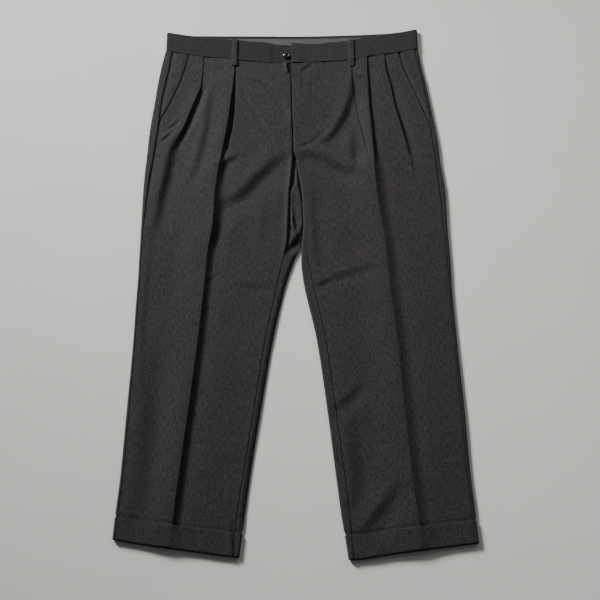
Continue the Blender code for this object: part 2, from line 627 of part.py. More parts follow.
def button(collection, cutters, material):
    """A four-hole button on the tab of the waistband, with a dished face."""
    x, y = BUTTON_AT
    foot = band_height(right, x) + 0.3
    profile = [(0.0, BUTTON_THICKNESS - 0.7), (4.6, BUTTON_THICKNESS - 0.7), (5.6, BUTTON_THICKNESS),
               (6.9, BUTTON_THICKNESS), (BUTTON_RADIUS, BUTTON_THICKNESS - 0.7), (BUTTON_RADIUS, 1.0),
               (6.6, 0.0), (0.0, 0.0)]
    mesh = bpy.data.meshes.new("button")
    mesh.from_pydata([(r * MM, 0.0, z * MM) for r, z in profile], [(i, i + 1) for i in range(len(profile) - 1)], [])
    item = new_object("button", mesh, collection, material)
    item.location = (x * MM, y * MM, foot * MM)
    turn = item.modifiers.new("turn", "SCREW")
    turn.axis = "Z"
    turn.steps = 28
    turn.render_steps = 28
    turn.use_merge_vertices = True
    turn.merge_threshold = 0.00001
    for k in range(4):
        a = pi / 4 + k * pi / 2
        drill = bmesh.new()
        bmesh.ops.create_cone(drill, cap_ends=True, segments=10, radius1=HOLE_RADIUS * MM,
                              radius2=HOLE_RADIUS * MM, depth=2.0 * BUTTON_THICKNESS * MM)
        hole_mesh = bpy.data.meshes.new(f"hole_cutter_{k + 1}")
        drill.to_mesh(hole_mesh)
        drill.free()
        hole = bpy.data.objects.new(f"hole_cutter_{k + 1}", hole_mesh)
        hole.location = ((x + HOLE_PITCH / 2 * cos(a) * 1.414) * MM, (y + HOLE_PITCH / 2 * sin(a) * 1.414) * MM,
                         (foot + BUTTON_THICKNESS / 2) * MM)
        hole.hide_render = True
        hole.display_type = "WIRE"
        cutters.objects.link(hole)
        cut = item.modifiers.new(f"hole_{k + 1}", "BOOLEAN")
        cut.operation = "DIFFERENCE"
        cut.object = hole


def make_material(name, colour, roughness):
    material = bpy.data.materials.new(name)
    material.use_nodes = True
    surface = material.node_tree.nodes["Principled BSDF"]
    surface.inputs["Base Color"].default_value = (*colour, 1.0)
    surface.inputs["Roughness"].default_value = roughness
    surface.inputs["Metallic"].default_value = 0.0
    return material


def main():
    for item in list(bpy.data.objects):
        bpy.data.objects.remove(item)
    parts = bpy.data.collections.new(NAME)
    cutters = bpy.data.collections.new("cutters")
    bpy.context.scene.collection.children.link(parts)
    bpy.context.scene.collection.children.link(cutters)
    wool = make_material("charcoal_wool", (0.027, 0.026, 0.025), 0.9)
    lining = make_material("grey_lining", (0.16, 0.16, 0.17), 0.7)
    horn = make_material("dark_horn", (0.012, 0.011, 0.010), 0.3)
    for half in (right, left):
        front_panel(half, parts, wool)
        back_panel(half, parts, wool)
        pocket_facing(half, parts, wool)
        waistband(half, parts, wool)
        belt_loop(half, parts, wool)
        cuff(half, parts, wool)
    waistband_lining(parts, lining)
    button(parts, cutters, horn)


main()
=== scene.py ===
"""Pleated dress trousers laid flat on their back: cloth, seams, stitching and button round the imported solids.

+X is the wearer's left, +Y runs from the hems to the waist and +Z points up. Sizes are in millimetres and
become metres where the meshes are made.
"""

from collections import namedtuple
from contextlib import contextmanager
from math import cos, pi, radians, sin

import bpy
import numpy as np
from bpy.props import FloatProperty, FloatVectorProperty, PointerProperty
from mathutils import Matrix, Vector


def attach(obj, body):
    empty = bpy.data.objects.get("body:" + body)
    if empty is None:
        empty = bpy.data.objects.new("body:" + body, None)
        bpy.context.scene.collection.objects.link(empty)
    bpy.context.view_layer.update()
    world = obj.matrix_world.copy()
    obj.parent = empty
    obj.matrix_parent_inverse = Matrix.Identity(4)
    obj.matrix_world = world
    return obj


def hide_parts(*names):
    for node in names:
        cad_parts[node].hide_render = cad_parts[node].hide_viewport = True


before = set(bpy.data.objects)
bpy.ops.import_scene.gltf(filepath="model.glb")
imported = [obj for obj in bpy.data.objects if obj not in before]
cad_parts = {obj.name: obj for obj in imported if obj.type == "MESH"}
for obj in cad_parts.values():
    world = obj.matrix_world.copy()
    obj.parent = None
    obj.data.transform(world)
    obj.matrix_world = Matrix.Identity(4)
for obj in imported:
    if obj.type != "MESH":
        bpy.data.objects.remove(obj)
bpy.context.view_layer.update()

bl_info = {
    "name": "Pleated dress trousers",
    "version": (1, 0, 0),
    "blender": (4, 5, 0),
    "location": "View3D > Sidebar > Trousers",
    "description": "Cuffed wool trousers with pleats, laid flat, made piece by piece",
    "category": "Add Mesh",
}

MM = 0.001
PLACE_ROUNDS = 5
ROW_STEP = 3.1
BACK_ROW_STEP = ROW_STEP * 1.15

# Columns of the panels from which their UV maps run.
FRONT_MIDDLE = 50
BACK_MIDDLE = 40

# Square roots of 2 and 3, for slanting bands and for the holes of the button.
ROOT_2 = 1.414
ROOT_3 = 1.732

# Gap between neighbouring pieces, the radius of a turned edge, and the shares of it at which rows stand.
GAP = 0.12
TURN = 1.1
NEAR = (0.0, 0.04, 0.14, 0.32, 0.6)

# Levels along the legs. Rows of a panel bend from a level to the slanted waist seam and hem.
WAIST_LEVEL = 460.0
WAIST_EASE = 300.0
HEM_LEVEL = -510.0
HEM_EASE = -260.0
CUFF_HEIGHT = 39.0
BAND_HEIGHT = 45.0
CROTCH = 237.0
CROTCH_EASE = 9.0
FORK = CROTCH - 8.0
FLY_FOOT = 262.0
POCKET_FOOT = 302.0

# Heights of the lying cloth.
ROLL = 3.4
EDGE_LIFT = 0.5
EDGE_FALL = {"left": (1.0, 14.0), "right": (3.2, 8.5)}
EDGE_WIDTH = 14.0
LOWEST = 2.6
WAIST_TURN = 0.45
CUFF_NEAR = -470.0
CUFF_FADE = 35.0
CREST_SHADED = {"left": 20.0, "right": 12.5}
CREST_VALLEY = 40.0
CREST_CUFF = 46.0
CUFF_FILLED = 0.8
VALLEY_SHARE = 0.4
CREST_LIT = 64.0
LIT_LEAST = 27.0
PLEAT_FOOT = 208.0
RISE_SHARE = 0.42
WALL = 0.9
TUCK = 0.7
FLY_LIFT = 1.6
FLY_WIDTH = 50.0
UNDERLAP = 24.0
UNDER_LIFT = 0.7
UNDER_WIDTH = 30.0
FLY_GROOVE = 4.0
FLY_DROP = 3.2
WEB_FOOT = 22.0
WEB_EASE = 30.0
WEB_END = 6.0
WEB_LIFT = 2.6
WEB_LOWEST = 1.6
WEB_ROLL = 2.0
INSEAM_CLEAR = 0.9
LEG_CLEAR = 0.5
FACING_DEPTH = 15.0
FACING_LIFT = 0.3
FACING_LOWEST = 2.0
CUFF_RISE = 1.9
CUFF_GROOVE = 1.9
HEM_SWELL = 3.0
HEM_FOLD_ROWS = 10
PANEL_FOOT = HEM_LEVEL + 10.0

# Steps at the seams: the drops of side seam and inseam, their widths and how far they reach, the share of the
# side seam's drop that is left low on the leg, the levels between which both seams change, and the depth and
# width of their grooves in the cuff. Then the drop from a pocket mouth to its facing, with its width.
SEAM_DROPS = {"left": (0.8, 0.9), "right": (1.9, 0.6)}
SIDE_WIDTH = 2.4
INSEAM_WIDTH = 1.6
SEAM_REACH = 11.0
SIDE_LOW = 0.35
SIDE_FROM = 60.0
SIDE_OVER = 120.0
INSEAM_FROM = 15.0
INSEAM_OVER = 40.0
CUFF_SEAM = (0.35, 1.5)
FACING_FALL = {"left": (2.8, 8.0), "right": (1.4, 2.4)}

# Radius of the fold and depth of the tucked-in cloth, on the waistband and on the cuffs.
BAND_FOLD = (1.0, 6.0)
CUFF_FOLD = (0.75, 8.0)

# Waistband ends, belt loops and the button.
BAND_END = -10.0
STEP = -47.0
TAB_END = 14.0
BAND_TOP = 7.6
TAB_TOP = 7.0
LAP_TOP = 9.4
LAP_START = -1.0
LAP_WIDTH = 28.0
LINING_DOWN = 7.3
LINING_ROWS = (35.0, 23.0, 15.0, 11.0, 9.0, 8.0, 7.6, 7.4, LINING_DOWN)
LINING_ENDS = (-195.0, 168.0)
LINING_HEIGHT = 3.3
LOOP_AT = {"left": 108.0, "right": -121.0}
LOOP_WIDTH = 10.0
LOOP_BELOW = 16.0
LOOP_STAND = {"left": 1.1, "right": 1.6}
BUTTON_RADIUS = 7.5
BUTTON_THICKNESS = 1.2
BUTTON_AT = (-19.5, 463.0)
BUTTON_STEPS = ((0.6, 0.85), (0.7, 0.6), (1.2, 0.64), (0.6, 0.12), (0.3, -0.1), (0.9, -0.5))
BUTTON_STAND = 0.5
HOLE_RADIUS = 0.85
HOLE_PITCH = 2.8

# The thread bars in the button: length, width and height, and half the distance between the two of a pair.
BAR = (3.4, 0.7, 0.6)
BAR_APART = 0.28

# Distance of the pocket's stitches from its edge, and of every stitch over the cloth.
STITCH_IN = 4.8
STITCH_LIFT = 0.05

# Pitches of the twill, of the lining's weave and of the plies of the thread, in metres.
TWILL_PITCH = 0.0013
LINING_PITCH = 0.0018
PLY_PITCH = 0.0005

# How far the yarns' grain is drawn out across and along a piece, for cloth cut along its grain and across it,
# and the painted shade of each half of the waistband, which is cut across: its colour is darkened to suit the
# key light, the right half more than the left, though real cloth has one shade.
GRAIN_ALONG = (0.16, 0.4)
GRAIN_ACROSS = (0.4, 0.2)
ACROSS_PAINTED_SHADE = {"left": 0.79, "right": 0.54}

# The point the camera looks at, its lens, and each light's name, place, target, size, spread and power.
AIM = (0.007, -0.0585, 0.0)
LENS = 75.0
SENSOR_WIDTH = 36.0
LIGHTS = (("key_light", (-2.9, 3.0, 1.88), (0.35, -0.1, 0.0), 1.16, radians(50.0), 42.0),
          ("fill_light", (1.3, 1.5, 1.7), AIM, 1.5, pi, 12.0))
WORLD_STRENGTH = 0.11

# One row for each section of a half, from the waist down. outer: side fold; side: side seam; edge: outer
# edge of the front panel, which is the pocket mouth above the side seam; pleat, crease: edges of the two
# pleats, the crease running on to the hem; gape2, gape1: how far the cloth drops behind them; mouth: the
# other edge of the right pleat's opening, or the line where the left pleat starts, with nick as its drop;
# inseam: inner edge of the front panel; inner: inner fold; flat: height of the cloth; crest: height of the
# crease above it.
Station = namedtuple("Station",
                     "y outer side edge pleat gape2 mouth nick crease gape1 inseam inner flat crest")
RIGHT = [Station(*row) for row in [
    (480, -256, -243, -207, -182, 0.5, -119, 0, -122, 0.8, -9, -9, 6.7, 0.4),
    (435, -264, -248, -216, -182.5, 0.8, -118, 0, -121, 2.0, -9, -9, 6.7, 1.2),
    (400, -268.5, -253, -225, -184.5, 1.3, -118, 0, -122.5, 3.2, -8, -8, 6.7, 2.4),
    (375, -271, -257, -234, -190.5, 3.4, -118, 0, -125, 3.8, -8, -8, 6.7, 3.0),
    (350, -273.5, -260, -243, -199, 4.2, -118, 0, -127.5, 4.0, -7, -7, 6.7, 3.4),
    (300, -278.5, -263, -263, -215, 4.2, -121, 0, -132.5, 4.0, -6, -6, 6.7, 4.0),
    (270, -280.5, -265.5, -265.5, -228.5, 2.6, -126.5, 0, -137, 3.8, -5, -5, 6.7, 4.2),
    (255, -281, -267, -267, -234, 0.9, -128.5, 0, -139, 3.2, -5, -5, 6.7, 4.2),
    (245, -281.5, -268, -268, -237, 0.2, -130, 0, -140.5, 0.8, -5, -5, 6.7, 4.4),
    (225, -282.5, -270, -270, -241, 0, -136, 0, -143.5, 0, -7, 0, 6.7, 5.0),
    (200, -284, -273, -273, -243, 0, -139, 0, -147, 0, -9, 4, 6.6, 5.4),
    (150, -285, -277, -277, -250, 0, -145, 0, -152, 0, -13, 11, 6.5, 5.4),
    (90, -285, -280, -280, -254, 0, -147, 0, -153.5, 0, -15, 12, 6.4, 5.6),
    (60, -285, -281, -281, -251, 0, -151, 0, -157.5, 0, -16, 11, 6.3, 5.4),
    (40, -285, -281, -281, -249, 0, -154, 0, -160.5, 0, -19, 6, 6.3, 5.2),
    (20, -285, -281, -281, -247, 0, -156, 0, -162, 0, -23.5, -2.5, 6.3, 5.1),
    (0, -285, -281, -281, -245, 0, -157, 0, -163, 0, -28, -9, 6.2, 5.0),
    (-15, -285, -281, -281, -243, 0, -158, 0, -164, 0, -31, -14, 6.2, 5.0),
    (-60, -286, -282, -282, -242, 0, -161, 0, -167, 0, -40, -25, 6.1, 5.0),
    (-140, -287, -283, -283, -240, 0, -167, 0, -173, 0, -55, -41, 6.1, 5.1),
    (-260, -291, -286, -286, -242, 0, -178, 0, -184, 0, -71, -59, 6.1, 5.2),
    (-380, -295, -290, -290, -246, 0, -190, 0, -196, 0, -88, -76, 6.0, 5.2),
    (-455, -300, -295, -295, -250, 0, -197, 0, -203, 0, -98, -85, 6.0, 4.9),
    (-473, -301, -296, -296, -250.5, 0, -198.5, 0, -204.5, 0, -99.5, -87, 6.0, 4.5),
    (-486, -301.6, -296.6, -296.6, -251, 0, -199.5, 0, -205.5, 0, -100.5, -88.3, 6.0, 3.8),
    (-530, -304, -299, -299, -253, 0, -203, 0, -209, 0, -104, -93, 6.0, 2.2),
]]
LEFT = [Station(*row) for row in [
    (480, 239, 231, 198, 171, 0.6, 107, 0.8, 138, 0.5, -9, -9, 6.7, 0.8),
    (435, 245, 240, 209, 173.5, 1.8, 107, 1.3, 137.5, 1.2, -10, -9, 6.7, 1.6),
    (400, 251, 246, 221, 180.5, 2.4, 107.5, 1.6, 138.5, 1.6, -9, -8, 6.7, 2.2),
    (350, 258, 252, 239, 188.5, 2.6, 114, 1.0, 139.5, 1.8, -8, -7, 6.7, 3.0),
    (320, 262, 255, 249, 195, 2.5, 118, 1.6, 141.5, 1.8, -7, -7, 6.7, 3.3),
    (300, 265, 256, 256, 200, 2.4, 122, 1.8, 142.5, 1.8, -6, -6, 6.7, 3.5),
    (250, 270, 261, 261, 210.5, 1.4, 131, 1.0, 145.5, 1.4, -5, -5, 6.7, 4.6),
    (225, 271, 263, 263, 216, 0.6, 135, 0.6, 146.5, 0.9, 2, 0, 6.7, 5.6),
    (200, 274, 264, 264, 220, 0.2, 138, 0.3, 147.5, 0.4, 8, 4, 6.6, 6.2),
    (150, 278, 268, 268, 224, 0, 142, 0, 150.5, 0, 15, 11, 6.5, 6.0),
    (90, 278, 271, 271, 228, 0, 149, 0, 158, 0, 17, 13, 6.4, 5.2),
    (48, 279, 274, 274, 229, 0, 154, 0, 163, 0, 17, 10, 6.3, 4.8),
    (20, 280, 275, 275, 230, 0, 156, 0, 165, 0, 21, 9, 6.3, 4.6),
    (-15, 280, 276, 276, 231, 0, 158, 0, 167, 0, 28, 12, 6.2, 4.5),
    (-140, 284, 280, 280, 236, 0, 169, 0, 178, 0, 53, 37, 6.1, 4.5),
    (-260, 290, 285, 285, 242, 0, 177, 0, 186, 0, 68, 53, 6.1, 4.6),
    (-380, 294, 289, 289, 247, 0, 186, 0, 195, 0, 82, 67, 6.0, 4.8),
    (-455, 299, 294, 294, 250, 0, 193, 0, 202, 0, 90, 76, 6.0, 5.0),
    (-475, 300, 295, 295, 251, 0, 195, 0, 204, 0, 91.5, 79, 6.0, 4.5),
    (-488, 301, 296, 296, 251.7, 0, 196.4, 0, 205.4, 0, 92.6, 81, 6.0, 3.8),
    (-530, 304, 299, 299, 254, 0, 201, 0, 210, 0, 96, 87, 6.0, 2.2),
]]

# Outlines across the garment, as (x, y): waist seam and top edge of the front, top edge of the back, and
# hems. The last line is the stitching of the fly.
FRONT_SEAM = [
    (-256, 475), (-223, 468), (-172, 460), (-127, 456), (-92, 451), (-22, 446), (2, 447), (56, 450),
    (101, 454), (152, 465), (195, 471), (239, 481)]
FRONT_TOP_RIGHT = [
    (-256, 519), (-204, 510), (-148, 504), (-93, 498), (-50, 493.5), (-47, 491.5), (-20, 489), (14, 488)]
FRONT_TOP_LEFT = [
    (-10, 493), (29, 491.5), (59, 494), (100, 499), (127, 505), (170, 514), (209, 520), (240, 527)]
BACK_TOP = [
    (-256, 519), (-204, 514), (-93, 513.5), (-2, 513), (86, 515), (170, 519), (209, 522.5), (240, 527)]
HEM = [
    (-304, -493), (-252, -502), (-172, -513), (-92, -523), (0, -527), (87, -527), (164, -517), (217, -510),
    (304, -499)]
FLY_STITCH = [(47, 446), (48, 400), (48, 361), (46, 320), (43, 296), (29, 275), (14, 263), (-4, 260)]

# Soft folds. Each is a step down of drop towards its east side, within the width steep, between cloth that
# rises over the distance west before it and recovers over the distance east behind it. East is to the left of
# a route as it is walked, so that routes run from the waist to the hem or towards the wearer's right.
Fold = namedtuple("Fold", "name drop steep west east route")
FOLDS_RIGHT = [
    Fold("edge of the pocket bag", 3.0, 4, 10, 12, [
        (-14, 262), (-30, 272), (-45, 285), (-60, 305), (-70, 325), (-78, 340), (-90, 360), (-102, 385)]),
    Fold("short drag at the fly", 3.4, 8, 16, 18, [
        (-10, 312), (-18, 338), (-30, 360), (-46, 380), (-66, 400), (-88, 412)]),
    Fold("notch at the fly top", 6.4, 3, 8, 9, [(-16, 462), (-18, 446), (-17, 436), (-15, 420)]),
    Fold("drag across the crotch", 7.0, 28, 34, 44, [
        (-16, 242), (-40, 224), (-56, 206), (-72, 190), (-90, 166), (-108, 150), (-128, 140), (-148, 132)]),
    Fold("hollow beside the crease", 3.0, 16, 20, 26, [
        (-134, 180), (-137, 150), (-140, 125), (-142, 100), (-148, 70), (-155, 40)]),
    Fold("short drag at the crease", 3.6, 15, 14, 16, [(-106, 238), (-122, 230), (-136, 221), (-150, 208)]),
    Fold("trough between the pleats", 4.0, 17, 16, 26, [
        (-165, 396), (-167, 350), (-171, 300), (-178, 260), (-184, 230), (-191, 205), (-202, 180),
        (-216, 164)]),
    Fold("first drag at the pocket", 2.0, 5, 8, 9, [(-222, 322), (-234, 306), (-247, 294)]),
    Fold("second drag at the pocket", 2.4, 5, 8, 10, [(-234, 294), (-248, 278), (-263, 266)]),
    Fold("valley below the pleat", 8.0, 22, 22, 40, [
        (-216, 292), (-229, 264), (-235, 240), (-239, 215), (-241, 195), (-245, 175), (-249, 150),
        (-252, 120), (-255, 80)]),
    Fold("soft line down the thigh", 1.1, 14, 18, 22, [(-57, 160), (-59, 100), (-62, 40)]),
    Fold("line along the side", 1.4, 13, 12, 30, [(-262, 110), (-267, 0), (-270, -100), (-267, -230)]),
    Fold("hollow along the shin", 6.2, 50, 14, 44, [(-253, -150), (-255, -280), (-257, -360), (-264, -470)]),
    Fold("tick at the thigh", 1.7, 6, 9, 10, [(-136, -6), (-148, -13), (-162, -22)]),
    Fold("soft band at the thigh", 1.7, 15, 16, 20, [(-40, -36), (-75, -33), (-114, -26)]),
    Fold("fall at the end of the cuff", 2.6, 10, 10, 14, [
        (-108, -455), (-106, -480), (-103, -505), (-100, -545)]),
]
FOLDS_LEFT = [
    Fold("drag from pleat to crotch", 6.0, 17, 26, 40, [
        (110, 420), (108, 384), (102, 356), (96, 336), (88, 316), (78, 298), (69, 284), (58, 272),
        (44, 261)]),
    Fold("slant mark below the waistband", 2.6, 5, 8, 10, [(27, 450), (22, 439), (12, 432), (9, 424)]),
    Fold("edge of the fly shield", 1.4, 4, 8, 10, [
        (52, 306), (46, 290), (37, 277), (24, 266), (8, 259), (-4, 257)]),
    Fold("line of the zip", 0.9, 6, 6, 8, [(8, 432), (8, 400), (9, 362)]),
    Fold("line under the fly", 0.8, 4, 6, 6, [(28, 442), (28, 400), (27, 350)]),
    Fold("drag across the crotch", 7.0, 22, 26, 36, [
        (116, 195), (100, 202), (84, 210), (68, 220), (52, 231), (36, 239), (12, 246)]),
    Fold("shade below the pleat", 2.4, 11, 8, 16, [
        (194, 345), (200, 310), (207, 282), (214, 252), (221, 222), (226, 200)]),
    Fold("hollow beside the strip", 3.6, 18, 20, 26, [(107, 300), (106, 262), (108, 230), (103, 200)]),
    Fold("trough along the inner leg", 2.4, 18, 12, 32, [
        (27, 205), (30, 150), (32, 100), (36, 50), (41, 0), (46, -30)]),
    Fold("drag across the thigh", 2.6, 18, 34, 20, [
        (152, 10), (120, 0), (95, -8), (70, -16), (50, -26), (34, -37)]),
    Fold("tick at the inner thigh", 2.0, 7, 12, 10, [(64, -20), (50, -27), (38, -36)]),
    Fold("drag at the knee", 3.4, 20, 22, 24, [(114, -218), (101, -237), (88, -249), (74, -259), (62, -268)]),
    Fold("hollow along the shin", 4.8, 34, 18, 34, [
        (93, -285), (97, -335), (102, -380), (100, -415), (88, -450)]),
    Fold("drag at the cuff", 5.0, 27, 28, 38, [
        (174, -394), (163, -414), (152, -430), (140, -446), (129, -460), (118, -474), (108, -489)]),
]
# The low cloth between the legs: its height along its middle, and the folds that cross it.
WEB_RISE = [
    (20, 1.6), (32, 2.0), (44, 3.4), (56, 4.6), (70, 5.2), (84, 5.4), (95, 5.6), (115, 5.6), (135, 5.2),
    (152, 5.4), (168, 4.8), (190, 4.4), (215, 3.4), (240, 3.0)]
FOLDS_WEB = [
    Fold("rise beside the right leg", 4.2, 4, 9, 12, [
        (-15, 132), (-13, 146), (-12, 158), (-4, 176), (-1, 195), (-1, 212), (-3, 236)]),
    Fold("low beside the right leg", 4.0, 4, 9, 8, [(-17, 40), (-11, 62), (-9, 86), (-9, 108), (-12, 132)]),
    Fold("upper hollow beside the left leg", 5.4, 5.5, 7, 9, [(0, 214), (3, 192), (6, 168), (10, 140)]),
    Fold("branch down the web", 3.8, 4.5, 6, 9, [(-8, 130), (-6, 112), (-4, 94), (0, 76), (4, 60)]),
    Fold("lower hollow beside the left leg", 6.8, 15, 7, 24, [
        (20, 104), (14, 88), (8, 74), (0, 60), (-10, 48), (-22, 40)]),
    Fold("fold across", 2.4, 3, 6, 10, [(-6, 124), (0, 108), (6, 98), (13, 91)]),
]


def smooth(t):
    """Ease from 0 to 1."""
    t = np.clip(t, 0.0, 1.0)
    return t * t * (3.0 - 2.0 * t)


def soft(t):
    """A rounded bump of height 1 at 0 that ends at 1."""
    return (1.0 - np.clip(np.abs(t), 0.0, 1.0) ** 2) ** 2


def cusp(t):
    """A peaked ridge of height 1 at 0 that ends at 1."""
    return (1.0 - np.clip(np.abs(t), 0.0, 1.0)) ** 1.5


def quarter(t):
    """A quarter circle that rises steeply from 0 and levels at 1."""
    return np.sqrt(np.clip(1.0 - (1.0 - np.clip(t, 0.0, 1.0)) ** 2, 0.0, 1.0))


def curve(points):
    """A smooth function through (place, value) points that never overshoots them."""
    points = sorted(points)
    p = np.array([q[0] for q in points], float)
    v = np.array([q[1] for q in points], float)
    step = np.diff(v) / np.diff(p)
    slope = np.zeros(len(p))
    slope[0], slope[-1] = step[0], step[-1]
    for i in range(1, len(p) - 1):
        if step[i - 1] * step[i] > 0:
            slope[i] = 2.0 * step[i - 1] * step[i] / (step[i - 1] + step[i])

    def value(at):
        at = np.clip(np.asarray(at, float), p[0], p[-1])
        i = np.clip(np.searchsorted(p, at) - 1, 0, len(p) - 2)
        h = p[i + 1] - p[i]
        t = (at - p[i]) / h
        rise = t * t * (3.0 - 2.0 * t)
        return (v[i] + (v[i + 1] - v[i]) * rise + h * slope[i] * t * (1.0 - t) ** 2
                + h * slope[i + 1] * t * t * (t - 1.0))

    return value


front_seam = curve(FRONT_SEAM)
front_top_right = curve(FRONT_TOP_RIGHT)
front_top_left = curve(FRONT_TOP_LEFT)
back_top = curve(BACK_TOP)
web_rise = curve(WEB_RISE)
hem = curve(HEM)


def back_seam(x):
    return back_top(x) - BAND_HEIGHT


def nearest(route, x, y):
    """Distance from (x, y) to a route, the share of the route passed there, and the side it lies on."""
    route = np.array(route, float)
    leg = np.hypot(*np.diff(route, axis=0).T)
    start = np.concatenate([[0.0], np.cumsum(leg)])
    best = np.full(np.shape(x), 1e9)
    along = np.zeros(np.shape(x))
    side = np.zeros(np.shape(x))
    for i, (a, b) in enumerate(zip(route, route[1:])):
        d = b - a
        t = np.clip(((x - a[0]) * d[0] + (y - a[1]) * d[1]) / (d @ d), 0.0, 1.0)
        dx = x - a[0] - t * d[0]
        dy = y - a[1] - t * d[1]
        far = np.hypot(dx, dy)
        near = far < best
        best = np.where(near, far, best)
        along = np.where(near, (start[i] + t * leg[i]) / start[-1], along)
        side = np.where(near, d[0] * dy - d[1] * dx, side)
    return best, along, side


def smooth_route(points, count):
    """Points along a rounded line through a few given ones."""
    points = np.array(points, float)
    ends = np.vstack([2 * points[0] - points[1], points, 2 * points[-1] - points[-2]])
    out = []
    for t in np.linspace(0.0, len(points) - 1.0, count):
        i = min(int(t), len(points) - 2)
        u = t - i
        a, b, c, d = ends[i:i + 4]
        out.append(0.5 * (2 * b + (c - a) * u + (2 * a - 5 * b + 4 * c - d) * u * u
                          + (3 * b - a - 3 * c + d) * u ** 3))
    return np.array(out)


